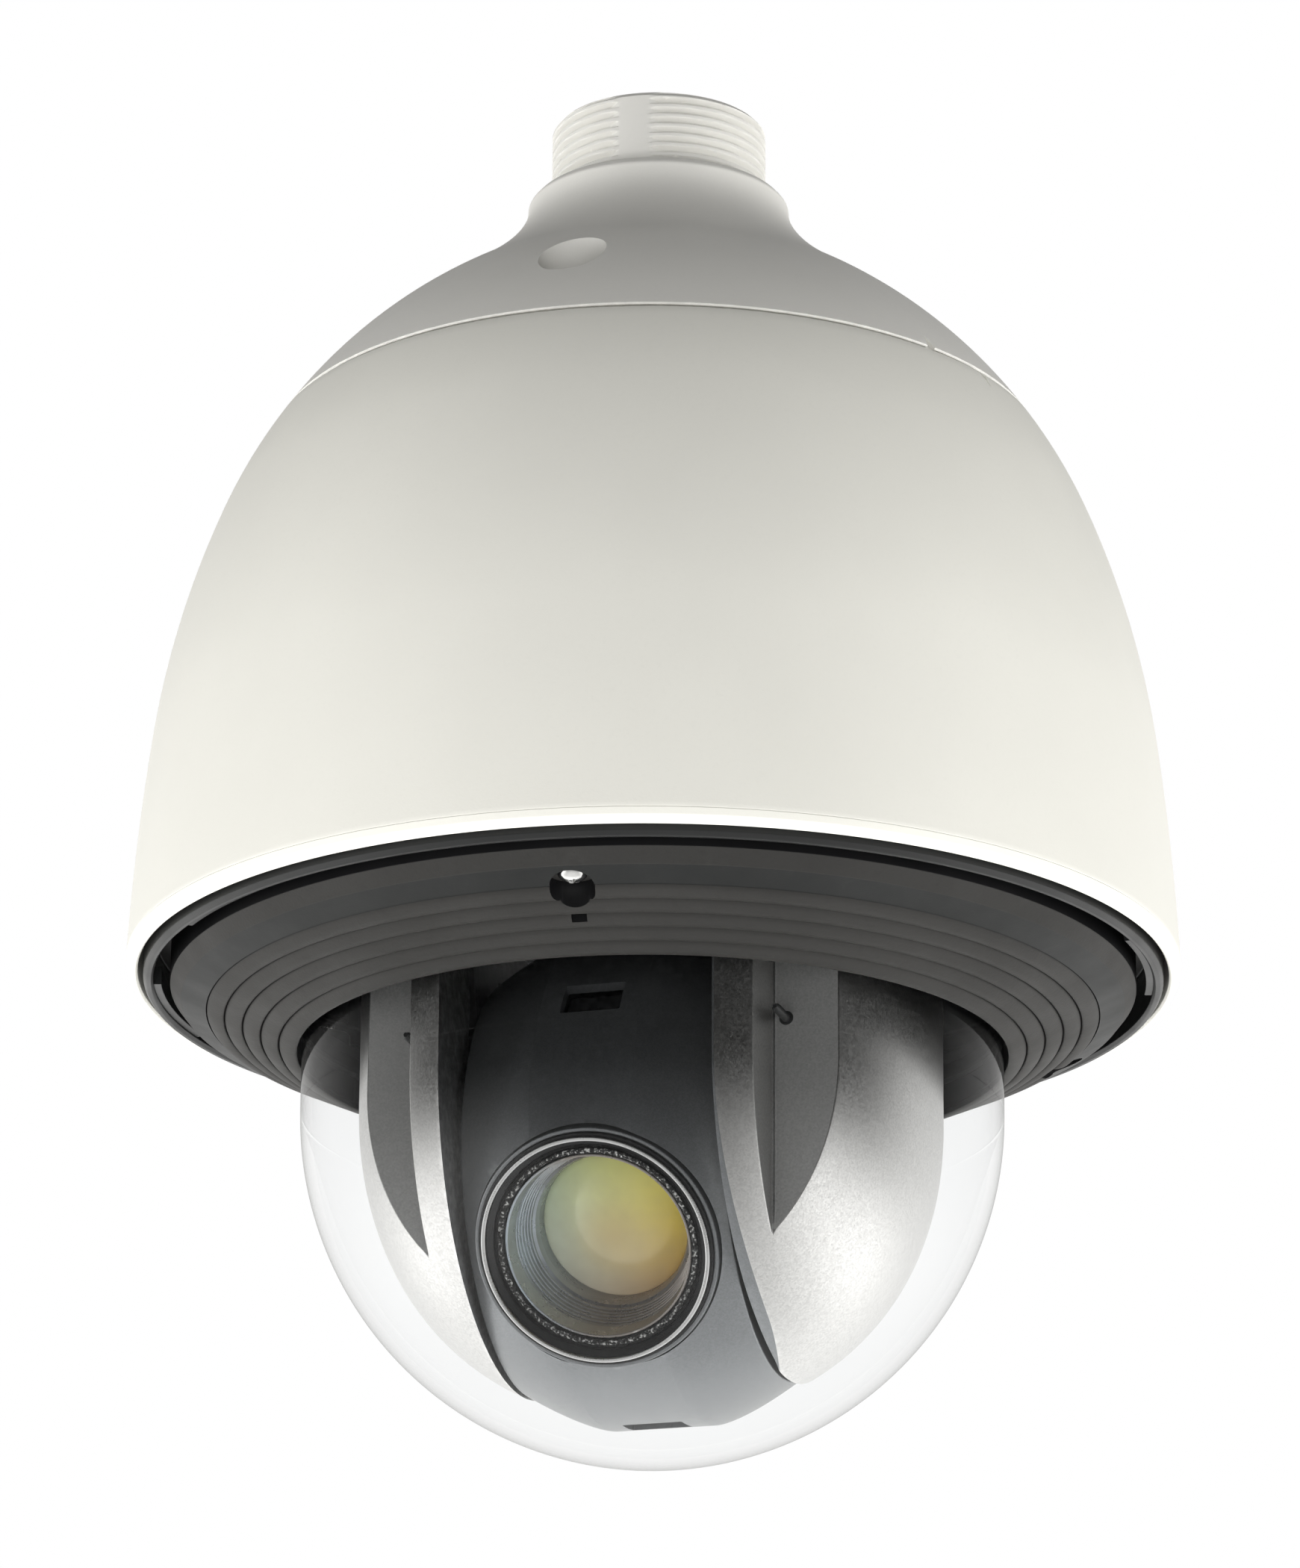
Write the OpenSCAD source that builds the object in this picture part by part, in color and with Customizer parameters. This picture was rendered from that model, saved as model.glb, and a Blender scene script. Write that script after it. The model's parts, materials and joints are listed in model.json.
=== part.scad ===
// Outdoor pendant PTZ dome camera. Heights inside the modules are measured from the centre of
// the clear dome's sphere. The whole camera is then lowered so that the frame's origin is the
// centre of the shoulder under the pipe thread, with +Z up and the camera's front towards -Y.

/* [Dome] */
// Outer radius of the clear dome
dome_r = 75; // [74:0.5:76]
// Wall of the clear dome
dome_wall = 2.5; // [2:0.1:3]

/* [Hood] */
// Outer radius of the hood at its lower edge
hood_r = 113; // [112.8:0.1:114]
// Wall of the hood
hood_wall = 2.5; // [2:0.1:2.6]
// Height of the seam between hood and cap above the dome's centre
seam_h = 152.3; // [152:0.1:153]

/* [Pipe thread] */
// Height of the shoulder under the thread above the dome's centre
seat_h = 211; // [210.5:0.5:213]
// Major radius of the 1 1/2 inch pipe thread
thread_r = 23.9; // [23.9:0.1:24]
// Length of the thread
thread_l = 17.5; // [15:0.5:20]
// Distance from one crest to the next
thread_pitch = 2.309; // [2.309:0.001:2.309]

/* [Camera head] */
// Angle that the head is panned at rest, clockwise seen from above
pan_rest = 16.5; // [0:0.5:90]
// Angle of the lens below the horizon at rest
tilt_rest = 32; // [0:0.5:60]
// Radius of the drum around the tilt axis
drum_r = 52.5; // [52:0.1:53]
// Radius of the ring around the lens port
port_r = 25; // [24.5:0.1:25]
// Radius of the front lens
lens_r = 15.8; // [15:0.1:16]

/* [Gears] */
// Teeth of the pan gear
pan_teeth = 96; // [96:1:96]
// Teeth of the pan motor's pinion
pan_pinion_teeth = 16; // [16:1:16]
// Teeth of the tilt gear
tilt_teeth = 72; // [72:1:72]
// Teeth of the tilt motor's pinion
tilt_pinion_teeth = 12; // [12:1:12]

/* [Hidden] */
$fn = 96;
tiny = 0.01;

// Outline of the hood and cap: three arcs, each tighter than the one below it
hood_base_h = 31;
hood_lean = 2.43;
arc_1_top = 80.2;
arc_2_top = 131.4;
arc_1_r = 588;
arc_2_r = 203;
arc_3_r = 115;
cap_crease_h = 186.5;
neck_r = 29;
neck_top_h = 208;
shoulder_round = 2.4;
thread_depth = 1.48;
thread_land = 0.6;
thread_turns = floor((thread_l - 1) / thread_pitch);
seam_gap = 0.5;
cap_wall = 4;
cable_r = 18;

// Trim ring
ring_lip_r = 76;
ring_lip_h = 12.8;
ring_slope = 0.452;
rib_count = 5;
rib_pitch = 3.9;
rib_rise = 0.75;
ring_flat_r = 101;
ring_r = 103.4;
ring_chamfer_h = 27.2;
ring_top_h = 36;
seat_inner_h = 20;
trim_screw_r = 95;
trim_screw_angles = [-10, 110, 230];
clamp_screw_r = 86;

// Inner housing
flange_r = 109.2;
flange_h = 38;
lip_inner_r = 107;
lip_h = 27.5;
can_r = 95;
can_bend_h = 118;
can_top_h = 145;
can_top_r = 82;
can_wall = 3;
post_r = 66.5;
post_angles = [-16, 104, 224];

// Pan drive, from the turntable up
tilt_h = -14;
table_h = tilt_h + drum_r + 2;
table_t = 3;
table_r = 66;
pan_gear_h = table_h + 5.5;
pan_gear_t = 6;
plate_h = table_h + 14.5;
plate_t = 3;
plate_r = 88;
bearing_h = plate_h + 0.5;
bearing_t = 7;
pan_module = 0.8;
pan_gear_r = pan_module * pan_teeth / 2;
pan_pinion_r = pan_module * pan_pinion_teeth / 2;
pan_centre = pan_gear_r + pan_pinion_r;
hub_r = 15;
slip_h = plate_h + 17;
board_t = 1.6;
main_board_h = 99;
power_board_h = 122;
standoff_r = 76;
standoff_w = 4.5;
blower_y = 60;
blower_w = 40;
blower_t = 10;

// Camera head, across the tilt axis
drum_flat = 11;
drum_half = 28.3;
drum_edge_r = 44.5;
drum_wall = 2.2;
cover_x = 29.3;
cover_a = 61.2;
cover_b = 63.6;
cover_power = 2.2;
cover_mid_h = -1;
cover_wall = 2.2;
pocket_x = 37;
pocket_y = 38;
arm_x = 32;
arm_t = 3;
axle_r = 4;
tilt_module = 0.5;
tilt_gear_r = tilt_module * tilt_teeth / 2;
tilt_pinion_r = tilt_module * tilt_pinion_teeth / 2;
tilt_centre = tilt_gear_r + tilt_pinion_r;
tilt_gear_x = 38;
tilt_gear_t = 5;
notch_angle = 64;

// ---- Frames of reference ----

module housing() {
    translate([0, 0, -seat_h]) children();
}

module head() {
    housing() rotate([0, 0, -pan_rest]) children();
}

module drum() {
    head() translate([0, 0, tilt_h]) rotate([tilt_rest, 0, 0]) children();
}

// Turns a child drawn around +Z so that its axis runs along +X
module along_x() {
    rotate([0, 90, 0]) children();
}

// Turns a child drawn around +Z so that it faces -Y
module facing_front() {
    rotate([90, 0, 0]) children();
}

// Places children on a circle, at angles counted from the front
module around(radius, angles) {
    for (a = angles) rotate([0, 0, a]) translate([0, -radius, 0]) children();
}

module tube(outer, inner, height) {
    difference() {
        cylinder(r = outer, h = height);
        translate([0, 0, -1]) cylinder(r = inner, h = height + 2);
    }
}

// Screw with a domed head below z = 0 and its shank above
module screw(head_r, head_t, shank_r, length) {
    dome = (head_r * head_r + head_t * head_t) / (2 * head_t);
    cylinder(r = shank_r, h = length);
    difference() {
        intersection() {
            translate([0, 0, dome - head_t]) sphere(r = dome);
            translate([0, 0, -head_t]) cylinder(r = head_r, h = head_t);
        }
        for (a = [0, 90]) {
            rotate([0, 0, a]) translate([-head_r * 0.6, -head_r * 0.11, -head_t - 1])
                cube([head_r * 1.2, head_r * 0.22, 1 + head_t * 0.45]);
        }
    }
}

// ---- Spur gear with involute flanks ----

function involute(base, angle) = [
    base * (cos(angle) + angle * PI / 180 * sin(angle)),
    base * (sin(angle) - angle * PI / 180 * cos(angle))
];
function turned(p, a) = [p[0] * cos(a) - p[1] * sin(a), p[0] * sin(a) + p[1] * cos(a)];
function mirrored(p) = [p[0], -p[1]];
function roll_to(base, radius) = sqrt(pow(radius / base, 2) - 1) * 180 / PI;

// One tooth around the angle a: root, flank up, flank down, root
function tooth(base, root, tip, half, a, steps) = let (
    low = max(root, base + tiny),
    flank = [for (i = [0 : steps])
        turned(involute(base, roll_to(base, low + (tip - low) * i / steps)), -half)]
) concat(
    [turned([root, 0], a - half)],
    [for (p = flank) turned(p, a)],
    [for (i = [steps : -1 : 0]) turned(mirrored(flank[i]), a)],
    [turned([root, 0], a + half)]
);

module gear_outline(teeth, size, backlash) {
    pitch = size * teeth / 2;
    base = pitch * cos(20);
    at_pitch = roll_to(base, pitch);
    slant = at_pitch - atan(at_pitch * PI / 180);
    half = 90 / teeth - backlash / pitch * 90 / PI + slant;
    polygon([for (i = [0 : teeth - 1])
        each tooth(base, pitch - 1.25 * size, pitch + 0.95 * size, half, i * 360 / teeth, 3)]);
}

// ---- Hood, cap and inner housing ----

function lean_sin(h) = sin(hood_lean)
    + (min(h, arc_1_top) - hood_base_h) / arc_1_r
    + max(0, min(h, arc_2_top) - arc_1_top) / arc_2_r
    + max(0, h - arc_2_top) / arc_3_r;
function lean_cos(h) = sqrt(1 - pow(lean_sin(h), 2));
function shell_r(h) = hood_r
    - arc_1_r * (lean_cos(hood_base_h) - lean_cos(min(h, arc_1_top)))
    - arc_2_r * (lean_cos(arc_1_top) - lean_cos(max(arc_1_top, min(h, arc_2_top))))
    - arc_3_r * (lean_cos(arc_2_top) - lean_cos(max(arc_2_top, h)));
function shell_line(from, to, steps, inset) = [for (i = [0 : steps])
    let (h = from + (to - from) * i / steps) [shell_r(h) - inset, h]];

function neck_line(steps) = let (crease_r = shell_r(cap_crease_h)) [for (i = [1 : steps])
    let (h = cap_crease_h + (neck_top_h - cap_crease_h) * i / steps)
    [neck_r + (crease_r - neck_r) * pow((neck_top_h - h) / (neck_top_h - cap_crease_h), 1.7), h]];

// Plain land at the shoulder, then one ring per turn of the thread
function thread_line() = concat(
    [[thread_r, seat_h], [thread_r, seat_h + thread_land]],
    [for (i = [0 : thread_turns - 1])
        let (h = seat_h + thread_land + i * thread_pitch)
        each [[thread_r - thread_depth, h + 0.85], [thread_r, h + 1.7],
            [thread_r, h + thread_pitch]]]
);

module mounting_cap() color("gainsboro") housing() difference() {
    union() {
        rotate_extrude() polygon(concat(
            [[cable_r, 175], [70, 158], [74, seam_h + seam_gap]],
            [[shell_r(seam_h + seam_gap), seam_h + seam_gap]],
            shell_line(seam_h + seam_gap + 1, cap_crease_h, 10, 0),
            neck_line(6),
            [[neck_r - 0.7, seat_h - 1.2], [neck_r - shoulder_round, seat_h]],
            thread_line(),
            [[thread_r - 1.4, seat_h + thread_l], [cable_r, seat_h + thread_l]]
        ));
        for (a = [-14, 166]) {
            rotate([0, 0, a - 99.3]) rotate_extrude(angle = 18.6)
                translate([21, seat_h - 1]) square([2.55, thread_l]);
        }
        around(post_r, post_angles) translate([0, 0, can_top_h]) cylinder(r = 7, h = 24);
        translate([0, 0, seam_h]) tube(80, 75, 3);
    }
    around(post_r, post_angles) {
        translate([0, 0, can_top_h - 1]) cylinder(r = 2.2, h = 30);
        translate([0, 0, 163]) cylinder(r = 4.8, h = 30);
        translate([0, 0, 166]) cylinder(r = 7.25, h = 30);
    }
}

module cap_seal() color("black") housing() translate([0, 0, can_top_h]) rotate_extrude() {
    polygon([[cable_r + 1, 0], [cable_r + 5, 0], [cable_r + 5, 6], [cable_r + 3, 29],
        [cable_r + 1, 29]]);
}

module cap_screws() color("silver") housing() around(post_r, post_angles) {
    translate([0, 0, 163]) mirror([0, 0, 1]) screw(4, 3, 2, 24);
}

module sun_hood() color("ivory") housing() difference() {
    rotate_extrude() polygon(concat(
        [[flange_r + 1.2, 29.8], [flange_r + 1.7, 29.3], [flange_r + 2.8, 29.6],
            [hood_r - 0.4, 31.2]],
        shell_line(32.4, seam_h, 30, 0),
        [[58, seam_h], [58, seam_h - hood_wall]],
        shell_line(seam_h - hood_wall, 34, 30, hood_wall),
        [[flange_r + 1.2, 33]]
    ));
    around(post_r, post_angles) translate([0, 0, seam_h - 5]) cylinder(r = 7.2, h = 10);
}

module inner_housing() color("dimgray") housing() difference() {
    union() {
        rotate_extrude() polygon([
            [lip_inner_r, lip_h + 0.7], [lip_inner_r + 0.6, lip_h], [flange_r - 0.7, lip_h],
            [flange_r, lip_h + 1.1], [flange_r, flange_h + 3], [can_r, flange_h + 3],
            [can_r, can_bend_h], [can_top_r, can_top_h], [cable_r, can_top_h],
            [cable_r, can_top_h - can_wall], [can_top_r - 1.5, can_top_h - can_wall],
            [can_r - can_wall, can_bend_h - 1], [can_r - can_wall, flange_h],
            [lip_inner_r, flange_h]
        ]);
        // Key tabs that narrow the gap round the trim ring
        for (k = [0 : 7]) rotate([0, 0, -100 + 45 * k - 10.75]) rotate_extrude(angle = 21.5)
            translate([lip_inner_r - 1.6, lip_h + 1]) square([2, 4]);
        around(trim_screw_r, trim_screw_angles) translate([0, 0, flange_h + 1])
            cylinder(r = 5, h = 12);
        around(post_r, post_angles) translate([0, 0, can_top_h - 14]) cylinder(r = 5, h = 13);
        // Rim that the hood's top flange rests on
        translate([0, 0, can_top_h - 1]) tube(78, 74.2, seam_h - hood_wall - can_top_h + 1);
    }
    around(trim_screw_r, trim_screw_angles) translate([0, 0, flange_h - 1])
        cylinder(r = 2.1, h = 12);
    around(post_r, post_angles) translate([0, 0, can_top_h - 11]) cylinder(r = 2.1, h = 20);
}

module housing_seal() color("black") housing() translate([0, 0, ring_top_h]) {
    tube(ring_r - 0.4, ring_r - 3, flange_h - ring_top_h);
}

// ---- Dome, trim ring and what clamps them ----

function ring_h(r) = ring_lip_h + (r - ring_lip_r) * ring_slope;
function rib_line() = [for (i = [0 : rib_count - 1])
    for (j = [0 : 4])
        let (r = ring_lip_r + (i + j / 5) * rib_pitch)
        [r, ring_h(r) - (i == 0 && j == 0 ? 0 : rib_rise * sin(180 * j / 5))]];

module trim_ring() color([0.23, 0.23, 0.225]) housing() difference() {
    union() {
        rotate_extrude() polygon(concat(
            rib_line(),
            [[ring_lip_r + rib_count * rib_pitch, ring_h(ring_lip_r + rib_count * rib_pitch)],
                [ring_flat_r, ring_h(ring_flat_r)], [ring_r, ring_chamfer_h],
                [ring_r, ring_top_h], [ring_r - 3.4, ring_top_h], [ring_r - 3.4, 27.5],
                [91, 23.5], [89, seat_inner_h], [dome_r + 1.6, seat_inner_h],
                [dome_r + 1.6, 15], [ring_lip_r, 14]]
        ));
        around(trim_screw_r, trim_screw_angles) translate([0, 0, 24]) cylinder(r = 5.4, h = 12);
        around(clamp_screw_r, [20 : 60 : 320]) translate([0, 0, seat_inner_h - 1])
            tube(2.2, 1, 5.1);
    }
    around(trim_screw_r, trim_screw_angles) {
        translate([0, 0, 10]) cylinder(r = 4.65, h = 14.6);
        translate([0, 0, 20]) cylinder(r = 2.2, h = 20);
        translate([-1.2, 6.2, 10]) cube([2.4, 1.1, 8]);
    }
    around(clamp_screw_r, [20 : 60 : 320]) translate([0, 0, seat_inner_h - 1])
        cylinder(r = 1, h = 8);
}

module trim_screws() color("silver") housing() around(trim_screw_r, trim_screw_angles) {
    translate([0, 0, 24.6]) screw(3.3, 2.4, 2, 23);
}

module dome_bubble() color([0.85, 0.9, 0.92, 0.35]) housing() {
    rotate_extrude() polygon(concat(
        [for (i = [0 : 36]) let (a = 2.5 * i) [dome_r * sin(a), -dome_r * cos(a)]],
        [[dome_r, 21.2], [83.5, 21.2], [83.5, 24.1], [dome_r - dome_wall, 24.1]],
        [for (i = [36 : -1 : 0]) let (a = 2.5 * i, r = dome_r - dome_wall)
            [r * sin(a), -r * cos(a)]]
    ));
}

module dome_gasket() color("black") housing() translate([0, 0, seat_inner_h]) {
    tube(83.5, dome_r + 1.6, 1.2);
}

module dome_clamp_ring() color("dimgray") housing() translate([0, 0, 24.1]) difference() {
    tube(88, dome_r + 1, 2.4);
    around(clamp_screw_r, [20 : 60 : 320]) translate([0, 0, -1]) cylinder(r = 1.4, h = 5);
}

module clamp_screws() color("silver") housing() around(clamp_screw_r, [20 : 60 : 320]) {
    translate([0, 0, 26.5]) mirror([0, 0, 1]) screw(2.1, 1.5, 0.95, 6.5);
}

// ---- Mechanism plate, boards, heater and blower ----

module standoff(length) {
    cylinder(r = standoff_w, h = length, $fn = 6);
}

module mechanism_plate() color("lightgray") housing() difference() {
    union() {
        translate([0, 0, plate_h]) cylinder(r = plate_r, h = plate_t);
        translate([0, 0, plate_h]) cylinder(r = 25, h = 0.5 + bearing_t);
    }
    translate([0, 0, plate_h - 1]) cylinder(r = 19.6, h = 5);
    translate([0, 0, bearing_h]) cylinder(r = 21, h = bearing_t + 1);
    translate([pan_centre, 0, plate_h - 1]) cylinder(r = 8.5, h = 5);
    translate([0, blower_y, plate_h - 1]) cylinder(r = 18.5, h = 5);
}

module lower_standoffs() color("goldenrod") housing() around(standoff_r, [45 : 90 : 315]) {
    translate([0, 0, plate_h + plate_t]) standoff(main_board_h - plate_h - plate_t);
}

module upper_standoffs() color("goldenrod") housing() around(standoff_r, [45 : 90 : 315]) {
    translate([0, 0, main_board_h + board_t])
        standoff(can_top_h - can_wall - main_board_h - board_t);
}

module main_board() color("darkgreen") housing() translate([0, 0, main_board_h]) {
    tube(84, 20, board_t);
    // Components, each [x, y, width, depth, height]
    for (c = [[-60, -20, 28, 28, 3], [25, -60, 14, 40, 2.5], [26, 26, 22, 22, 9],
            [-20, 50, 40, 8, 8], [-65, 25, 20, 10, 11], [50, -15, 12, 30, 6]])
        translate([c[0], c[1], board_t]) cube([c[2], c[3], c[4]]);
    for (y = [-40, -54]) translate([-20, y, board_t]) cylinder(r = 5, h = 13);
}

module power_board() color("seagreen") housing() translate([0, 0, power_board_h]) {
    translate([-52, -40, 0]) cube([104, 80, board_t]);
    translate([-30, 14, -14]) cube([32, 24, 14]);
    for (x = [15, 30]) translate([x, 26, -12]) cylinder(r = 6, h = 12);
    for (x = [-45, 45], y = [-33, 33]) translate([x, y, board_t])
        cylinder(r = 3, h = can_top_h - can_wall - power_board_h - board_t);
}

module power_terminal() color("green") housing() {
    translate([26, -14, power_board_h + board_t]) difference() {
        cube([12, 28, 11]);
        for (i = [0 : 3]) translate([-1, 2.3 + 6.6 * i, 2.5]) cube([9, 3.6, 3.6]);
    }
}

module network_jack() color("silver") housing() {
    translate([-42, -8, power_board_h + board_t]) difference() {
        cube([16, 16, 13.5]);
        translate([4, 2, 3]) cube([13, 12, 8]);
    }
}

module blower_frame() color("black") housing() translate([0, blower_y, plate_h + plate_t]) {
    difference() {
        translate([-blower_w / 2, -blower_w / 2, 0]) cube([blower_w, blower_w, blower_t]);
        translate([0, 0, -1]) cylinder(r = 18.5, h = blower_t + 2);
        for (x = [-16, 16], y = [-16, 16]) translate([x, y, -1]) cylinder(r = 1.7, h = 12);
    }
    translate([0, 0, blower_t - 1.5]) cylinder(r = 9, h = 1.5);
    for (a = [30 : 90 : 300]) rotate([0, 0, a]) translate([8, -1.2, blower_t - 1.3])
        cube([11, 2.4, 1]);
    translate([0, 0, 3]) cylinder(r = 1.5, h = blower_t - 3);
}

module blower_rotor() color("dimgray") housing() {
    translate([0, blower_y, plate_h + plate_t + 1.5]) difference() {
        union() {
            cylinder(r = 10, h = 6);
            for (i = [0 : 6]) rotate([0, 0, i * 360 / 7]) translate([8.5, 0, 3])
                rotate([38, 0, 0]) translate([0, -4, -0.5]) cube([8.8, 8, 1]);
        }
        translate([0, 0, 1]) cylinder(r = 1.55, h = 9);
        translate([0, 0, 5.4]) cylinder(r = 8.6, h = 5);
    }
}

module heater() color("silver") housing() translate([-25, -72, plate_h + plate_t]) {
    cube([50, 24, 4]);
    for (i = [0 : 7]) translate([i * 6.86, 0, 4]) cube([2, 24, 10]);
}

// ---- Pan drive ----

module pan_motor() color("gray") housing() translate([pan_centre, 0, plate_h]) difference() {
    union() {
        translate([0, 0, 0.5]) cylinder(r = 8.4, h = plate_t);
        translate([0, 0, plate_t]) cylinder(r = 17.5, h = 22);
        translate([14, -9, plate_t + 4]) cube([8, 18, 12]);
    }
    cylinder(r = 2.55, h = 16);
}

module pan_pinion() color("gold") housing() translate([pan_centre, 0, pan_gear_h]) {
    translate([0, 0, 0.25]) rotate([0, 0, 180 + 180 / pan_pinion_teeth])
        linear_extrude(pan_gear_t - 0.5) gear_outline(pan_pinion_teeth, pan_module, 0.09);
    translate([0, 0, -0.5]) cylinder(r = 2.5, h = 22);
}

module pan_gear() color("white") housing() translate([0, 0, pan_gear_h]) difference() {
    linear_extrude(pan_gear_t) gear_outline(pan_teeth, pan_module, 0.09);
    translate([0, 0, -1]) cylinder(r = 16.9, h = pan_gear_t + 2);
    for (a = [0 : 60 : 300]) rotate([0, 0, a]) translate([27, 0, -1])
        cylinder(r = 5, h = pan_gear_t + 2);
}

bearing_mid_r = 18;
ball_r = 1.8;
module race(outer, inner) {
    difference() {
        tube(outer, inner, bearing_t);
        translate([0, 0, bearing_t / 2]) rotate_extrude() translate([bearing_mid_r, 0])
            circle(r = ball_r + 0.05);
    }
}

module pan_bearing_outer() color("silver") housing() translate([0, 0, bearing_h]) {
    race(20.98, 19.1);
}

module pan_bearing_inner() color("silver") head() translate([0, 0, bearing_h]) {
    race(16.9, hub_r + 0.02);
}

module pan_bearing_balls() color("white") housing() {
    translate([0, 0, bearing_h + bearing_t / 2])
        around(bearing_mid_r, [0 : 30 : 330]) sphere(r = ball_r);
}

module bearing_retainer() color("gray") housing() translate([0, 0, bearing_h + bearing_t]) {
    tube(25, 19.8, 1.5);
}

module turntable() color("dimgray") head() difference() {
    union() {
        translate([0, 0, table_h]) cylinder(r = table_r, h = table_t);
        translate([0, 0, table_h]) cylinder(r = 22, h = pan_gear_h - table_h);
        translate([0, 0, table_h]) cylinder(r = 16.8, h = bearing_h - table_h);
        translate([0, 0, table_h]) cylinder(r = hub_r, h = 27);
    }
    translate([0, 0, table_h - 1]) cylinder(r = 10, h = 40);
    // Two wire slots
    for (s = [-1, 1]) translate([s * 50 - 4, -12, table_h - 1]) cube([8, 24, table_t + 2]);
}

module hub_nut() color("silver") head() translate([0, 0, bearing_h + bearing_t + 0.1]) {
    difference() {
        tube(18.8, hub_r + 0.05, 4);
        for (a = [0 : 90 : 270]) rotate([0, 0, a]) translate([17.3, -1.5, -1]) cube([3, 3, 6]);
    }
}

module slip_ring_rotor() color("gold") head() translate([0, 0, table_h + 8]) {
    cylinder(r = 9.95, h = 4);
    cylinder(r = 6, h = slip_h + 20 - table_h - 8);
}

module slip_ring_body() color("darkslategray") housing() translate([0, 0, slip_h]) {
    tube(14, 6.05, 21);
    translate([0, 0, 21]) cylinder(r = 14, h = 2);
    for (a = [60, 180, 300]) rotate([0, 0, a]) {
        translate([13, -4, 0]) cube([20, 8, 2]);
        translate([30, 0, plate_h + plate_t - slip_h])
            cylinder(r = 2.5, h = slip_h - plate_h - plate_t);
    }
}

// ---- Yoke, covers and tilt drive ----

module arm_plate() {
    difference() {
        translate([arm_x, 0, 0]) rotate([90, 0, 90]) linear_extrude(arm_t) union() {
            polygon([[-30, table_h], [30, table_h], [14, tilt_h], [-14, tilt_h]]);
            translate([0, tilt_h]) circle(r = 14);
        }
        translate([arm_x - 1, 0, tilt_h]) along_x() cylinder(r = 6, h = arm_t + 2);
        translate([arm_x - 1, -9, 18]) cube([arm_t + 2, 18, 12]);
    }
    translate([arm_x, -25, table_h - 3]) cube([14, 50, 3]);
    // Lugs that the cover is screwed to
    difference() {
        for (s = [-1, 1]) translate([arm_x, s * 27.6 - 7.9, 4]) cube([12, 15.8, 8]);
        for (s = [-1, 1]) translate([arm_x + 8, s * 36, 8]) facing_front()
            translate([0, 0, -8]) cylinder(r = 1.05, h = 16);
    }
}

module yoke_arm_left() color("silver") head() {
    mirror([1, 0, 0]) arm_plate();
    for (y = [-12, 12], z = [-2, 22]) translate([-arm_x - arm_t - 3, y, z]) along_x()
        cylinder(r = 2, h = 3.2);
}

module yoke_arm_right() color("silver") head() {
    arm_plate();
    for (y = [-13, 13]) translate([arm_x + arm_t - 0.1, y, tilt_h + tilt_centre]) along_x()
        cylinder(r = 2.5, h = 9.1);
}

// Outline of a cover beyond the plane at x, with its wall taken off by inset
function cover_line(x, inset, steps) = [for (i = [0 : steps])
    let (
        a = cover_a - inset,
        b = cover_b - inset,
        from = pow(x / a, cover_power / 2),
        c = from + (1 - from) * sin(90 * i / steps)
    ) [a * pow(c, 2 / cover_power), b * pow(max(0, 1 - c * c), 1 / cover_power)]];

// Solid of revolution about the tilt direction below the middle, straight above it
module cover_solid(x, inset, top) {
    line = cover_line(x, inset, 14);
    translate([0, 0, cover_mid_h]) {
        intersection() {
            along_x() rotate_extrude() polygon(concat([[0, x]], [for (p = line) [p[1], p[0]]]));
            translate([0, -100, -100]) cube([100, 200, 100 + tiny]);
        }
        linear_extrude(top - cover_mid_h) polygon(concat(
            line, [for (i = [len(line) - 2 : -1 : 0]) [line[i][0], -line[i][1]]]));
    }
}

module side_cover() {
    difference() {
        cover_solid(cover_x, 0, table_h - 0.1);
        difference() {
            cover_solid(cover_x + 2, cover_wall, table_h + 1);
            for (s = [-1, 1]) translate([pocket_x - 2, s * (pocket_y + 30 - 2) - 30, -90])
                cube([60, 60, 200]);
        }
        // Opening that the yoke arm and axle pass through
        translate([cover_x - 1, 0, cover_mid_h]) along_x() cylinder(r = 37, h = 3.5);
        translate([cover_x - 1, -37, cover_mid_h]) cube([3.5, 74, 60]);
        // Flat-bottomed pockets, front and back
        for (s = [-1, 1]) translate([pocket_x, s * (pocket_y + 30) - 30, -90])
            cube([60, 60, 200]);
        for (s = [-1, 1]) translate([arm_x + 8, s * 40, 8]) facing_front()
            translate([0, 0, -8]) cylinder(r = 1.2, h = 16);
    }
}

module side_cover_left() color("lightsteelblue") head() mirror([1, 0, 0]) side_cover();

module side_cover_right() color("lightsteelblue") head() side_cover();

module cover_screws() color("silver") head() {
    for (sx = [-1, 1], sy = [-1, 1]) translate([sx * (arm_x + 8), sy * (pocket_y + 0.02), 8])
        rotate([sy > 0 ? 90 : -90, 0, 0]) screw(2, 1.3, 0.95, 9);
}

module tilt_bushes() color("goldenrod") head() {
    for (s = [-1, 1]) scale([s, 1, 1]) translate([arm_x - 0.5, 0, tilt_h]) along_x() {
        tube(5.98, axle_r + 0.05, arm_t + 0.5);
        tube(7.5, axle_r + 0.05, 0.5);
    }
}

module tilt_motor() color("gray") head() {
    translate([arm_x + arm_t + 9, 0, tilt_h + tilt_centre]) along_x() difference() {
        union() {
            translate([-4, -16, 0]) cube([8, 32, 1]);
            translate([0, 0, 0]) cylinder(r = 10, h = 11);
        }
        translate([0, 0, -1]) cylinder(r = 1.55, h = 8);
    }
}

module driver_board() color("darkgreen") head() {
    translate([-arm_x - arm_t - 3 - board_t, -18, -6]) cube([board_t, 36, 34]);
    translate([-arm_x - arm_t - 6.6, -8, 2]) cube([2.1, 16, 16]);
    translate([-arm_x - arm_t - 9.5, -14, 20]) cube([5, 28, 6]);
}

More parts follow.
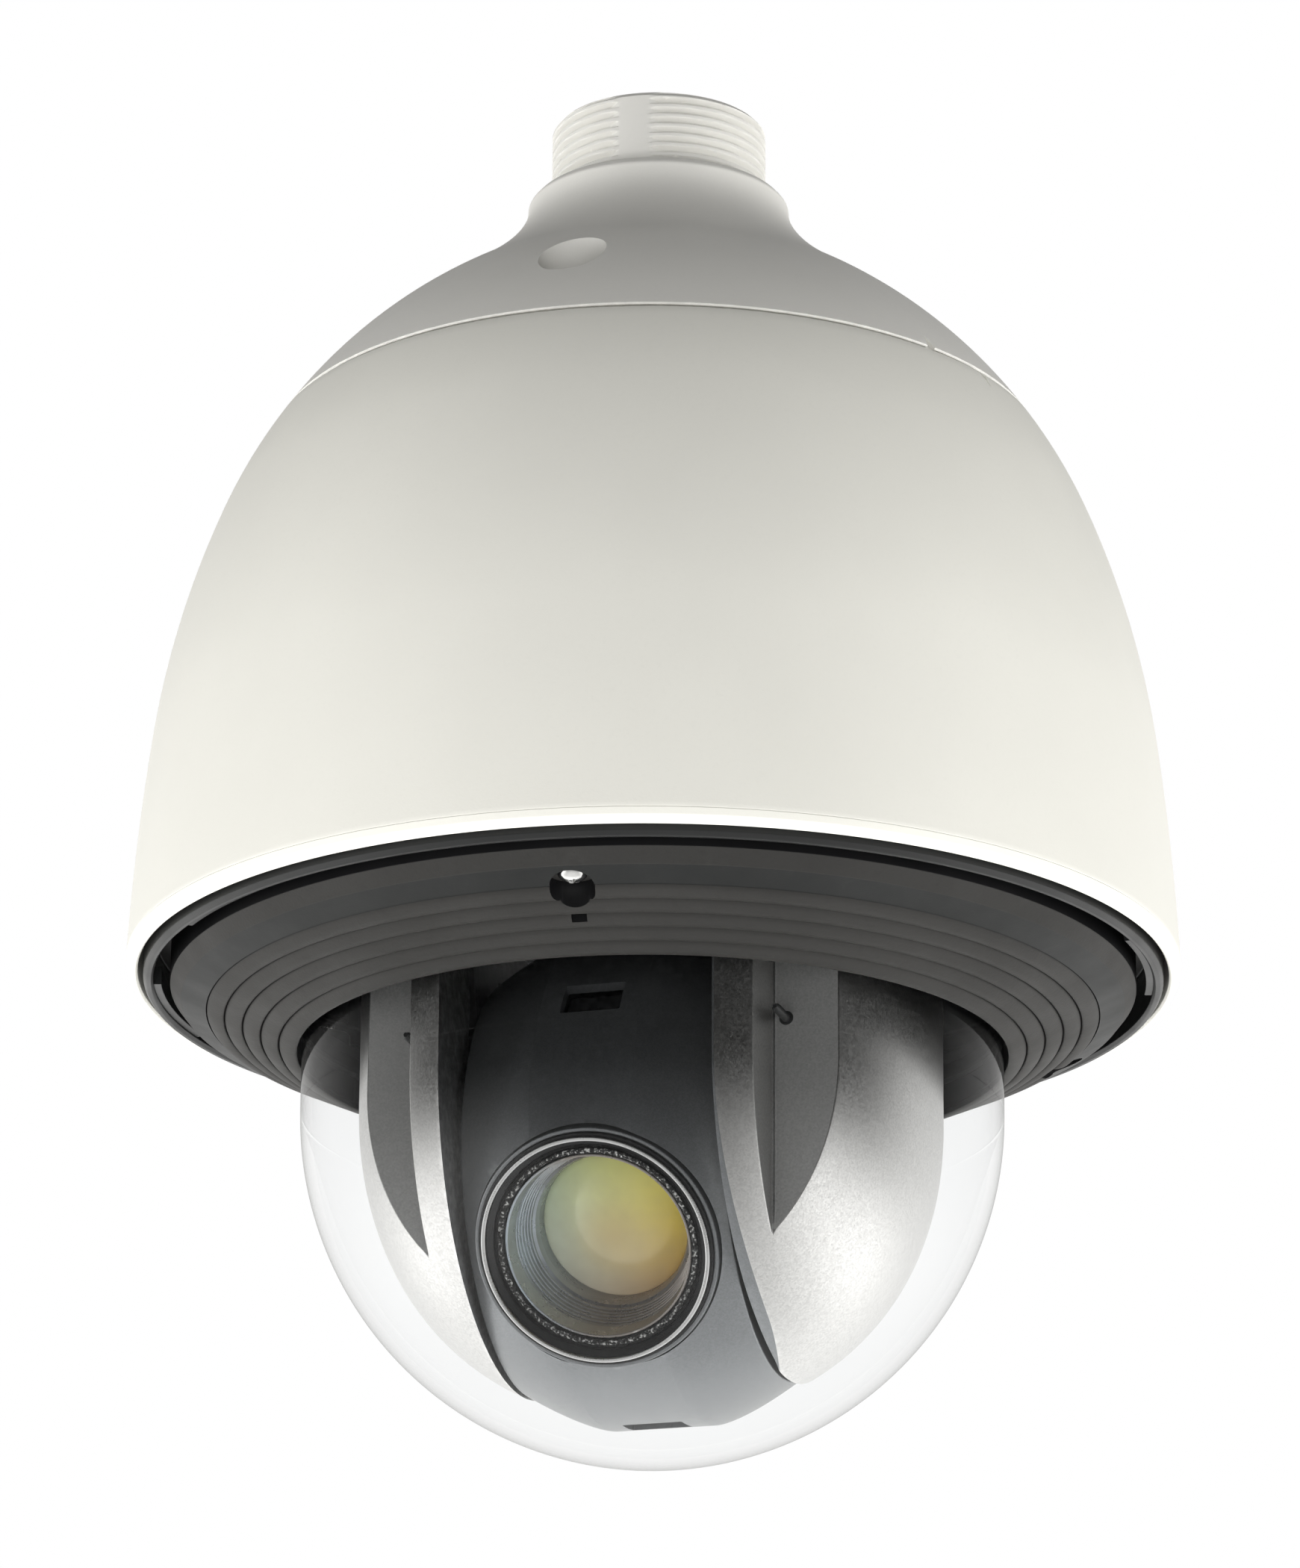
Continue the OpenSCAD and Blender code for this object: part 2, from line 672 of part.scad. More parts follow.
module tilt_pinion() color("gold") head() translate([0, 0, tilt_h + tilt_centre]) {
    translate([tilt_gear_x + 0.25, 0, 0]) along_x()
        rotate([0, 0, 180 / tilt_pinion_teeth]) linear_extrude(tilt_gear_t - 0.5)
        gear_outline(tilt_pinion_teeth, tilt_module, 0.09);
    translate([tilt_gear_x - 1, 0, 0]) along_x() cylinder(r = 1.5, h = 12);
}

module tilt_gear() color("white") head() translate([tilt_gear_x, 0, tilt_h]) along_x() {
    difference() {
        linear_extrude(tilt_gear_t) gear_outline(tilt_teeth, tilt_module, 0.09);
        translate([0, 0, -1]) cylinder(r = axle_r + 0.02, h = tilt_gear_t + 2);
        for (a = [30 : 60 : 330]) rotate([0, 0, a]) translate([10.5, 0, -1])
            cylinder(r = 3.5, h = tilt_gear_t + 2);
    }
}

// ---- Tilting drum ----

// Outline of the drum about the tilt axis: a flat band with bowed flanks
function drum_line(inset, half) = let (
    fall = drum_r - drum_edge_r,
    span = drum_half - drum_flat
) concat(
    [[drum_r - inset, 0], [drum_r - inset, drum_flat]],
    [for (i = [1 : 6])
        let (x = drum_flat + (half - drum_flat) * i / 6)
        [drum_r - inset - fall * pow((x - drum_flat) / span, 1.35), x]]
);

module drum_solid(inset, half) {
    line = drum_line(inset, half);
    outline = concat([[0, 0]], line, [[0, half]]);
    for (s = [0, 1]) mirror([s, 0, 0]) along_x() rotate_extrude() polygon(outline);
}

module drum_shell() {
    difference() {
        union() {
            drum_solid(0, drum_half);
            facing_front() cylinder(r = port_r + 1, h = 47.4);
        }
        difference() {
            drum_solid(drum_wall, drum_half - drum_wall);
            for (y = [-14, 14], s = [-1, 1]) translate([s * 25 - 3, y, 0]) along_x()
                cylinder(r = 4, h = 6);
        }
        facing_front() cylinder(r = port_r + 0.05, h = 60);
        translate([-40, 0, 0]) along_x() cylinder(r = axle_r + 1.2, h = 80);
        // Holes for the screws into the camera chassis
        for (y = [-14, 14]) translate([-40, y, 0]) along_x() cylinder(r = 1.3, h = 80);
        for (y = [-14, 14], s = [-1, 1]) translate([s * 29 - 1.6, y, 0]) along_x()
            cylinder(r = 2.7, h = 3.2);
        // Latch windows above and below the port
        for (a = [-notch_angle, notch_angle]) rotate([a, 0, 0])
            translate([-6.5, -60, -4.2]) cube([13, 12, 8.4]);
    }
}

module drum_front_shell() color("slategray") drum() intersection() {
    drum_shell();
    translate([-50, -100.1, -60]) cube([100, 100, 120]);
}

module drum_rear_shell() color("slategray") drum() intersection() {
    drum_shell();
    translate([-50, 0.1, -60]) cube([100, 100, 120]);
}

module drum_screws() color("silver") drum() {
    for (y = [-14, 14], s = [0, 1]) mirror([s, 0, 0]) translate([27.42, y, 0])
        rotate([0, -90, 0]) screw(2.4, 0.85, 1.2, 9);
}

module axle(length) {
    translate([22.02, 0, 0]) along_x() {
        cylinder(r = axle_r, h = length);
        cylinder(r = 9, h = 2);
    }
}

module tilt_axle_left() color("silver") drum() mirror([1, 0, 0]) axle(15);

module tilt_axle_right() color("silver") drum() axle(22.5);

module camera_chassis() color("dimgray") drum() difference() {
    translate([-22, -22, -20]) cube([44, 46, 40]);
    translate([0, 16, 0]) facing_front() cylinder(r = 15, h = 40);
    translate([-17, 17.5, -9]) cube([34, 10, 18]);
    translate([0, 20, 0]) facing_front() cylinder(r = 5, h = 10);
    for (y = [-14, 14], s = [-1, 1]) translate([s * 20 - 3, y, 0]) along_x()
        cylinder(r = 1.25, h = 6);
}

module guide_rods() color("silver") drum() {
    for (s = [-1, 1]) translate([s * 12, 16, 0]) facing_front() cylinder(r = 1, h = 37.5);
}

module lens_barrel() color([0.3, 0.3, 0.3]) drum() facing_front() difference() {
    union() {
        translate([0, 0, 22]) cylinder(r = 21, h = 6);
        translate([0, 0, 22]) cylinder(r = 19.9, h = 24.6);
    }
    translate([0, 0, 21]) cylinder(r = 14.2, h = 30);
    translate([0, 0, 27]) cylinder(r = lens_r + 0.02, h = 30);
    translate([0, 0, 34]) cylinder(r1 = lens_r + 0.3, r2 = 17.2, h = 4.5);
    translate([0, 0, 38.5]) cylinder(r1 = 17.8, r2 = 18.6, h = 9);
}

module port_seal() color("black") drum() facing_front() translate([0, 0, 43]) {
    tube(22.1, 20.1, 3.8);
}

module port_ring() color("silver") drum() facing_front() difference() {
    translate([0, 0, 42]) cylinder(r = port_r, h = 7);
    translate([0, 0, 41]) cylinder(r = 22.2, h = 10);
    translate([0, 0, 47.8]) cylinder(r1 = 22.2, r2 = 23.6, h = 1.4);
}

module front_lens() color([0.6, 0.75, 0.35, 0.5]) drum() facing_front() intersection() {
    translate([0, 0, 27]) cylinder(r = lens_r, h = 6.8);
    translate([0, 0, 33.6 - 38]) sphere(r = 38);
}

module lens_cell(y, outer, glass) {
    translate([0, y, 0]) facing_front() difference() {
        union() {
            tube(outer, glass, 5);
            intersection() {
                cylinder(r = glass + tiny, h = 5);
                translate([0, 0, 4.4 - 22]) sphere(r = 22);
            }
        }
        for (s = [-1, 1]) translate([s * 12, 0, -1]) cylinder(r = 1.05, h = 7);
    }
}

module zoom_lens_group() color("black") drum() lens_cell(-6, 14, 9.5);

module focus_lens_group() color("black") drum() lens_cell(9, 14, 8);

module ir_cut_filter() color("tomato") drum() difference() {
    translate([-15.5, 18.2, -8]) cube([22.5, 1.4, 16]);
    // Two windows: the infrared filter now on the axis, and plain glass beside it
    for (x = [0, -9.6], y = [18.1, 19.3]) translate([x, y + 0.4, 0]) facing_front()
        cylinder(r = 4.6, h = 0.4);
}

module image_board() color("darkgreen") drum() {
    translate([-18, 24.02, -17]) cube([36, board_t, 34]);
    translate([-6, 21.5, -5]) cube([12, 2.6, 10]);
}

module processor_board() color("darkgreen") drum() {
    translate([-18, 31, -15]) cube([36, board_t, 30]);
    for (x = [-15, 15], z = [-12, 12]) translate([x, 31.1, z]) facing_front()
        cylinder(r = 2, h = 5.45);
    translate([-8, 32.5, -8]) cube([16, 2, 16]);
}

mounting_cap();
cap_seal();
cap_screws();
sun_hood();
inner_housing();
housing_seal();
trim_ring();
trim_screws();
dome_bubble();
dome_gasket();
dome_clamp_ring();
clamp_screws();
mechanism_plate();
lower_standoffs();
main_board();
upper_standoffs();
power_board();
power_terminal();
network_jack();
blower_frame();
heater();
pan_motor();
slip_ring_body();
pan_bearing_outer();
pan_bearing_balls();
bearing_retainer();
blower_rotor();
pan_pinion();
pan_bearing_inner();
turntable();
pan_gear();
hub_nut();
slip_ring_rotor();
yoke_arm_left();
yoke_arm_right();
side_cover_left();
side_cover_right();
cover_screws();
tilt_bushes();
tilt_motor();
driver_board();
tilt_pinion();
drum_front_shell();
drum_rear_shell();
drum_screws();
tilt_axle_left();
tilt_axle_right();
tilt_gear();
camera_chassis();
guide_rods();
lens_barrel();
port_ring();
port_seal();
front_lens();
image_board();
processor_board();
zoom_lens_group();
focus_lens_group();
ir_cut_filter();
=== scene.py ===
import json
import math

import bmesh
import bpy
from mathutils import Matrix, Vector, noise


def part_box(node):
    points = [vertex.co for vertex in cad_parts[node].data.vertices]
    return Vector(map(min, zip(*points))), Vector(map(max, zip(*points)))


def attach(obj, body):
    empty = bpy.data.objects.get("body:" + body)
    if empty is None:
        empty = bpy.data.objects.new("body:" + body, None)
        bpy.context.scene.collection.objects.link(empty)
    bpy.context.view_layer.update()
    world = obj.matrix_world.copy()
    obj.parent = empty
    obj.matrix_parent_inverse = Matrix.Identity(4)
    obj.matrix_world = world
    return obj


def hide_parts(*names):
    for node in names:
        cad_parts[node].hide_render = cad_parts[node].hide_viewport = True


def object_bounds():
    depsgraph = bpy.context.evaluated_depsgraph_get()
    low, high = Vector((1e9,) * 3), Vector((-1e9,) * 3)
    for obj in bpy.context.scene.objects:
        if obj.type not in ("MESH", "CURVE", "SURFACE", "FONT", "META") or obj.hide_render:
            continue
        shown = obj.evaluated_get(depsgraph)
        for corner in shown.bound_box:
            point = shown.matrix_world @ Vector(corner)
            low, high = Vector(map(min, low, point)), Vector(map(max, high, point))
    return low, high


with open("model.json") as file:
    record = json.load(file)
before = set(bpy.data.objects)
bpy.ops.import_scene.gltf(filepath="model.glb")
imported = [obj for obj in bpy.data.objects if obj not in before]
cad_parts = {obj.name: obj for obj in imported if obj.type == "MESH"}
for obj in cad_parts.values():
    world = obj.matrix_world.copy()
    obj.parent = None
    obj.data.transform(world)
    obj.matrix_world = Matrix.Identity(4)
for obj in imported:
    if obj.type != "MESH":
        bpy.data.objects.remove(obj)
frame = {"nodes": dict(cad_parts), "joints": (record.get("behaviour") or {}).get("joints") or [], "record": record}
cad_low, cad_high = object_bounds()

# Outdoor dome camera: its outside pieces are drawn again in finer detail round the CAD frame,
# its inner pieces stay as CAD nodes, and then come the room, the lights and the camera.

# ---- Frames of reference: millimetres inside each, heights above the dome's centre ----

MM = 0.001
dome_r = 75.0
joints = {joint["name"]: joint for joint in frame["joints"]}
tilt_axis = Vector(joints["tilt"]["axis"])
lens_axis = Vector(joints["zoom"]["axis"])
tilt_pivot = Vector(joints["tilt"]["pos_m"])
seat_h = -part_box("dome_bubble")[0].z / MM - dome_r
pan_turn = Matrix.Rotation(math.atan2(tilt_axis.y, tilt_axis.x), 4, "Z")
tilt_turn = Matrix.Rotation(math.asin(-lens_axis.z), 4, "X")
to_metres = Matrix.Scale(MM, 4)
HOUSING = Matrix.Translation((0, 0, -seat_h * MM)) @ to_metres
HEAD = HOUSING @ pan_turn
DRUM = Matrix.Translation(tilt_pivot) @ pan_turn @ tilt_turn @ to_metres
LENS = DRUM @ Matrix.Rotation(math.radians(90), 4, "X")
AXLE = Matrix.Rotation(math.radians(90), 4, "Y")
FRONT = Matrix.Rotation(math.radians(90), 4, "X")


def heights(node):
    """Lowest and highest height of a CAD node above the dome's centre."""
    return [corner.z / MM + seat_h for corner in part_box(node)]


# ---- Sizes ----

hood_low, seam_h = heights("sun_hood")
thread_top = heights("mounting_cap")[1]
ring_top = heights("trim_ring")[1]
ring_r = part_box("trim_ring")[1].x / MM
flange_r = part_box("inner_housing")[1].x / MM
housing_low = heights("inner_housing")[0]
bubble_flange_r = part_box("dome_bubble")[1].x / MM
bubble_top = heights("dome_bubble")[1]
hood_r = 113.0
hood_wall = 2.5
seam_gap = 0.5
cable_r = 18.0
thread_r = 23.9
thread_pitch = 2.309
thread_depth = 1.48
dome_wall = 2.5
screw_angles = (-10, 110, 230)
screw_circle_r = 95.0
post_angles = (-16, 104, 224)
post_circle_r = 66.5


# ---- Mesh helpers ----


def smooth_step(low, high, value):
    t = min(1.0, max(0.0, (value - low) / (high - low)))
    return t * t * (3 - 2 * t)


def soften(points, closed=True, steps=4):
    """Rounds the corners of an outline of (x, y) or (x, y, radius) points."""
    line = []
    count = len(points)
    for i, point in enumerate(points):
        here = Vector(point[:2])
        at_end = not closed and i in (0, count - 1)
        if len(point) < 3 or at_end:
            line.append(here)
            continue
        before = Vector(points[i - 1][:2]) - here
        after = Vector(points[(i + 1) % count][:2]) - here
        if min(before.length, after.length) < 1e-6:
            line += [here] * (steps + 1)
            continue
        half = before.angle(after) / 2
        reach = min(point[2] / math.tan(half), before.length * 0.48, after.length * 0.48)
        start = here + before.normalized() * reach
        end = here + after.normalized() * reach
        for k in range(steps + 1):
            t = k / steps
            line.append(start * (1 - t) ** 2 + here * 2 * t * (1 - t) + end * t * t)
    return [tuple(p) for p in line]


def bridge(bm, rings, closed_rings, closed_sweep):
    """Faces between rings of vertices that all have the same count."""
    count = len(rings[0])
    for i in range(len(rings) if closed_sweep else len(rings) - 1):
        one, two = rings[i], rings[(i + 1) % len(rings)]
        for j in range(count if closed_rings else count - 1):
            k = (j + 1) % count
            corners = list(dict.fromkeys((one[j], one[k], two[k], two[j])))
            if len(corners) > 2:
                bm.faces.new(corners)


def outward(bm):
    """Turns every face of a closed mesh outwards."""
    bm.normal_update()
    bmesh.ops.recalc_face_normals(bm, faces=bm.faces)
    if bm.calc_volume(signed=True) < 0:
        bmesh.ops.reverse_faces(bm, faces=bm.faces)


def lathe(outline, turns=192, shape=None, turn=None, start=0.0, sweep=360.0):
    """Solid swept about Z from a closed outline of (radius, height); angles count from -Y to +X."""
    bm = bmesh.new()
    whole = sweep >= 360
    poles = {}
    rings = []
    for i in range(turns if whole else turns + 1):
        angle = math.radians(start + sweep * i / turns)
        ring = []
        for j, (r, h) in enumerate(outline):
            if shape:
                r, h = shape(angle, r, h)
            if r < 1e-6:
                if j not in poles:
                    poles[j] = bm.verts.new((0, 0, h))
                ring.append(poles[j])
            else:
                ring.append(bm.verts.new((r * math.sin(angle), -r * math.cos(angle), h)))
        rings.append(ring)
    bridge(bm, rings, True, whole)
    if not whole:
        bm.faces.new(list(dict.fromkeys(rings[0])))
        bm.faces.new(list(dict.fromkeys(rings[-1])))
    outward(bm)
    if turn:
        bm.transform(turn)
    return bm


def prism(outline, low, high, turn=None):
    """Solid between two heights over a closed outline of (x, y) points."""
    bm = bmesh.new()
    rings = [[bm.verts.new((x, y, h)) for x, y in outline] for h in (low, high)]
    bridge(bm, rings, True, False)
    for ring in rings:
        bm.faces.new(ring)
    outward(bm)
    if turn:
        bm.transform(turn)
    return bm


def rectangle(x, y, radius, centre=(0, 0)):
    """Outline of a rectangle with rounded corners."""
    cx, cy = centre
    corners = [(-1, -1), (1, -1), (1, 1), (-1, 1)]
    return soften([(cx + i * x / 2, cy + j * y / 2, radius) for i, j in corners], steps=3)


def at_angle(angle, radius, height=0.0):
    """Turns and moves a shape out from the middle at an angle counted from the front."""
    out = Matrix.Translation((0, -radius, height))
    return Matrix.Rotation(math.radians(angle), 4, "Z") @ out


def joined(*parts):
    """One mesh out of several, which are used up."""
    whole = bmesh.new()
    for part in parts:
        mesh = bpy.data.meshes.new("part")
        part.to_mesh(mesh)
        part.free()
        whole.from_mesh(mesh)
        bpy.data.meshes.remove(mesh)
    return whole


def scratch_object(bm):
    mesh = bpy.data.meshes.new("scratch")
    bm.to_mesh(mesh)
    bm.free()
    made = bpy.data.objects.new("scratch", mesh)
    bpy.context.scene.collection.objects.link(made)
    return made


def carve(bm, *steps):
    """Applies ("DIFFERENCE" or "INTERSECT", tool mesh) steps in order."""
    base = scratch_object(bm)
    tools = []
    for operation, tool in steps:
        tools.append(scratch_object(tool))
        modifier = base.modifiers.new("carve", "BOOLEAN")
        modifier.operation = operation
        modifier.solver = "EXACT"
        modifier.object = tools[-1]
    bpy.context.view_layer.update()
    seen = base.evaluated_get(bpy.context.evaluated_depsgraph_get())
    result = bmesh.new()
    result.from_mesh(seen.to_mesh())
    for made in [base, *tools]:
        mesh = made.data
        bpy.data.objects.remove(made)
        bpy.data.meshes.remove(mesh)
    bmesh.ops.remove_doubles(result, verts=result.verts, dist=0.002)
    bmesh.ops.dissolve_degenerate(result, edges=result.edges, dist=0.001)
    return result


def piece(name, bm, place, body, slot, nodes, sharp=32, look=None, others=(), pick=None):
    """Puts a mesh drawn in millimetres into the frame, in place of CAD nodes, with its material."""
    mesh = bpy.data.meshes.new(name)
    mesh.materials.append(LOOKS[look or slot])
    for other in others:
        mesh.materials.append(LOOKS[other])
    if others:
        for face in bm.faces:
            face.material_index = pick(face.calc_center_median(), face.normal)
    bm.to_mesh(mesh)
    bm.free()
    mesh.transform(place)
    mesh.shade_smooth()
    mesh.set_sharp_from_angle(angle=math.radians(sharp))
    made = bpy.data.objects.new(name, mesh)
    bpy.context.scene.collection.objects.link(made)
    # Broad faces keep their own direction where a small rounding meets them
    even = made.modifiers.new("even", "WEIGHTED_NORMAL")
    even.keep_sharp = True
    even.weight = 80
    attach(made, body)
    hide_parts(*nodes)


# ---- Materials ----


class Look:
    """A node material, with helpers that add nodes and return their output sockets."""

    def __init__(self, name, **shader):
        self.material = bpy.data.materials.new(name)
        self.material.use_nodes = True
        self.tree = self.material.node_tree
        self.shader = self.tree.nodes["Principled BSDF"]
        self.place = self.add("ShaderNodeTexCoord").outputs["Object"]
        for socket, value in shader.items():
            self.shader.inputs[socket.replace("_", " ")].default_value = value

    def add(self, kind, inputs=(), **settings):
        node = self.tree.nodes.new(kind)
        for setting, value in settings.items():
            setattr(node, setting, value)
        for socket, value in dict(inputs).items():
            self.join(value, node.inputs[socket])
        return node

    def join(self, value, socket):
        if isinstance(value, bpy.types.NodeSocket):
            self.tree.links.new(value, socket)
        else:
            socket.default_value = value

    def noise(self, size, detail=3.0, stretch=(1, 1, 1)):
        """Noise whose features are about size millimetres across, drawn out along an axis."""
        place = self.place
        if stretch != (1, 1, 1):
            scale = tuple(1 / s for s in stretch)
            place = self.add("ShaderNodeMapping", {"Vector": place, "Scale": scale}).outputs[0]
        made = self.add("ShaderNodeTexNoise", {
            "Vector": place, "Scale": 1 / (size * MM), "Detail": detail, "Roughness": 0.55})
        return made.outputs["Fac"]

    def cells(self, size, output="Distance"):
        """Cells about size millimetres across: distance from each one's middle, or its own colour."""
        made = self.add("ShaderNodeTexVoronoi", {"Vector": self.place, "Scale": 1 / (size * MM)})
        return made.outputs[output]

    def spread(self, value, low, high, start=0.3, end=0.7):
        """Values from start to end drawn out to run from low to high."""
        made = self.add("ShaderNodeMapRange", {
            "Value": value, "From Min": start, "From Max": end, "To Min": low, "To Max": high})
        return made.outputs[0]

    def maths(self, operation, a, b=0.0):
        made = self.add("ShaderNodeMath", {0: a, 1: b}, operation=operation)
        return made.outputs[0]

    def along(self, direction, centre):
        """Signed distance in millimetres from centre along a direction in the row frame."""
        moved = self.add("ShaderNodeVectorMath", {0: self.place, 1: tuple(centre)},
                         operation="SUBTRACT").outputs[0]
        scaled = tuple(c / MM for c in direction)
        return self.add("ShaderNodeVectorMath", {0: moved, 1: scaled},
                        operation="DOT_PRODUCT").outputs["Value"]

    def blend(self, share, one, two):
        made = self.add("ShaderNodeMix", data_type="RGBA")
        self.join(share, made.inputs["Factor"])
        for colour, socket in ((one, made.inputs["A"]), (two, made.inputs["B"])):
            self.join(colour if isinstance(colour, bpy.types.NodeSocket) else (*colour, 1), socket)
        return made.outputs["Result"]

    def edges(self):
        """1 on convex edges, 0 on flat surfaces, broken up by noise."""
        point = self.add("ShaderNodeNewGeometry").outputs["Pointiness"]
        worn = self.spread(point, 0.0, 1.0, 0.52, 0.62)
        return self.maths("MULTIPLY", worn, self.spread(self.noise(2.5, 4), 0.0, 1.0, 0.42, 0.66))

    def bump(self, height, depth, strength=1.0, below=None):
        """Bump whose full height is depth millimetres."""
        made = self.add("ShaderNodeBump", {"Height": height, "Distance": depth * MM,
                                           "Strength": strength})
        if below:
            self.tree.links.new(below, made.inputs["Normal"])
        return made.outputs["Normal"]

    def set(self, **sockets):
        """Sets or links the main shader's sockets, and returns the finished material."""
        for socket, value in sockets.items():
            self.join(value, self.shader.inputs[socket.replace("_", " ")])
        return self.material


def shade(colour, gain):
    """A colour made darker or brighter, up to white."""
    return tuple(min(1.0, c * gain) for c in colour)


def moulded(name, colour, rough, grain=0.5, depth=0.02, tone=0.05, **shader):
    """Moulded or painted surface: broad tone drift, fine grain, uneven gloss, rubbed edges."""
    look = Look(name, **shader)
    drift = look.spread(look.noise(45, 2), 0.0, 1.0)
    base = look.blend(drift, shade(colour, 1 - tone), shade(colour, 1 + tone))
    speck = look.spread(look.noise(grain * 2.2, 2), 0.0, 0.35, 0.55, 0.75)
    base = look.blend(speck, base, shade(colour, 1 - 2.2 * tone))
    base = look.blend(look.edges(), base, shade(colour, 1.25))
    gloss = look.spread(look.noise(14, 4), rough - 0.05, rough + 0.06)
    orange_peel = look.bump(look.noise(grain * 7, 1), depth * 1.5, 0.5)
    grained = look.bump(look.noise(grain, 2), depth, 0.8, orange_peel)
    return look.set(Base_Color=base, Roughness=gloss, Normal=grained)


def metal(name, colour, rough, stretch=(1, 1, 1), size=0.4):
    """Bare or plated metal: brushed or turned marks, smudges and bright edges."""
    look = Look(name, Metallic=1.0)
    marks = look.noise(size, 4, stretch)
    smudge = look.noise(9, 4)
    base = look.blend(look.spread(smudge, 0.0, 1.0), shade(colour, 0.86), shade(colour, 1.06))
    base = look.blend(look.edges(), base, shade(colour, 1.3))
    gloss = look.maths("ADD", look.spread(marks, rough - 0.06, rough + 0.05),
                       look.spread(smudge, -0.03, 0.06))
    return look.set(Base_Color=base, Roughness=gloss, Normal=look.bump(marks, 0.006, 0.7))


def flaked_paint(name, colour, rough, flake=0.35, metallic=0.75):
    """Metallic paint: flakes of differing brightness under a satin coat."""
    look = Look(name, Metallic=metallic, Coat_Weight=0.15, Coat_Roughness=0.25)
    flakes = look.cells(flake, output="Color")
    split = look.add("ShaderNodeSeparateColor", {"Color": flakes}).outputs
    sparkle = look.spread(split[0], 0.0, 1.0, 0.0, 1.0)
    drift = look.spread(look.noise(30, 2), 0.0, 1.0)
    base = look.blend(drift, shade(colour, 0.95), shade(colour, 1.04))
    base = look.blend(sparkle, shade(colour, 0.82), base)
    base = look.blend(look.edges(), base, shade(colour, 1.35))
    gloss = look.spread(split[1], rough - 0.07, rough + 0.07, 0.0, 1.0)
    grain = look.bump(look.noise(0.45, 2), 0.012, 0.6)
    return look.set(Base_Color=base, Roughness=gloss, Normal=grain)


def clear_shell(name, rim_gloss, rim_tint):
    """Clear wall that doesn't bend light, with a mirror coat up to a stated rim, and faint dust."""
    look = Look(name)
    look.tree.nodes.remove(look.shader)
    grazing = look.add("ShaderNodeLayerWeight", {"Blend": 0.5}).outputs["Facing"]
    tint = look.blend(look.maths("POWER", grazing, 12.0), (0.988, 0.99, 0.99), rim_tint)
    see_through = look.add("ShaderNodeBsdfTransparent", {"Color": tint})
    waves = look.bump(look.noise(38, 2), 0.05, 0.15)
    fine = look.spread(look.noise(16, 3), 0.012, 0.03)
    mirror = look.add("ShaderNodeBsdfGlossy", {
        "Color": (1, 1, 1, 1), "Roughness": fine, "Normal": waves})
    rise = look.maths("MULTIPLY", look.maths("POWER", grazing, 5.0), rim_gloss)
    facing = look.maths("ADD", rise, 0.013)
    coat = look.add("ShaderNodeMixShader", {0: facing, 1: see_through.outputs[0],
                                            2: mirror.outputs[0]})
    haze = look.add("ShaderNodeBsdfDiffuse", {"Color": (0.9, 0.92, 0.93, 1)})
    dust = look.spread(look.noise(1.2, 5), 0.0, 0.006, 0.45, 0.8)
    whole = look.add("ShaderNodeMixShader", {0: dust, 1: coat.outputs[0], 2: haze.outputs[0]})
    look.join(whole.outputs[0], look.tree.nodes["Material Output"].inputs["Surface"])
    return look.material


def coated_lens(name):
    """Coated glass whose coloured reflections are painted on: greenish left, amber and straw right."""
    look = Look(name, Metallic=0.15, Coat_Weight=0.6, Coat_Roughness=0.03, Coat_IOR=1.5)
    middle = tilt_pivot + lens_axis * 32 * MM
    up = tilt_axis.cross(lens_axis) * -1
    across = look.spread(look.along(tilt_axis, middle), 0.0, 1.0, -13, 13)
    upward = look.spread(look.along(up, middle), 0.0, 1.0, -14, 13)
    left = look.blend(upward, (0.34, 0.34, 0.29), (0.26, 0.31, 0.2))
    right = look.blend(upward, (0.30, 0.165, 0.035), (0.39, 0.35, 0.05))
    base = look.blend(across, left, right)
    away = look.add("ShaderNodeVectorMath", {0: look.place, 1: tuple(middle - up * 2 * MM)},
                    operation="DISTANCE").outputs["Value"]
    core = look.spread(away, 0.75, 0.0, 0.0, 9 * MM)
    base = look.blend(core, base, (0.27, 0.205, 0.09))
    mottle = look.spread(look.noise(5, 3), 0.0, 0.16)
    base = look.blend(mottle, base, (0.12, 0.12, 0.09))
    gloss = look.spread(look.noise(7, 3), 0.16, 0.26)
    # The painted reflection colours also glow faintly through the emission: painted light, though the lens is no
    # lamp
    return look.set(Base_Color=base, Roughness=gloss, Emission_Color=base,
                    Emission_Strength=0.4)


def barrel_paint(name):
    """Satin coat inside the lens barrel, with a painted reflection: cool on its left and warm on its right."""
    look = Look(name, Metallic=0.75)
    # Painted reflection: lighter bluish grey towards the left, warm brown towards the right
    away = look.along(tilt_axis, tilt_pivot)
    share = look.spread(away, 0.0, 1.0, -18, -4)
    base = look.blend(share, (0.42, 0.48, 0.53), (0.27, 0.245, 0.225))
    smudge = look.spread(look.noise(6, 3), 0.0, 0.3)
    base = look.blend(smudge, base, (0.16, 0.15, 0.145))
    base = look.blend(look.edges(), base, (0.7, 0.7, 0.68))
    gloss = look.spread(look.noise(4, 3), 0.24, 0.34)
    return look.set(Base_Color=base, Roughness=gloss, Normal=look.bump(look.noise(0.5), 0.003, 0.5))


def foam(name):
    """Black foam with pale specks where its outer edge is cut."""
    look = Look(name, Specular_IOR_Level=0.3)
    tears = look.spread(look.noise(0.55, 4), 0.0, 1.0, 0.52, 0.66)
    depth = look.along(lens_axis, tilt_pivot)
    cut = look.spread(depth, 0.0, 1.0, 46.2, 46.6)
    specks = look.maths("MULTIPLY", tears, cut)
    base = look.blend(specks, (0.006, 0.006, 0.006), (0.34, 0.34, 0.33))
    gloss = look.spread(look.noise(1.0), 0.45, 0.7)
    return look.set(Base_Color=base, Roughness=gloss, Normal=look.bump(look.noise(0.4, 3), 0.12))


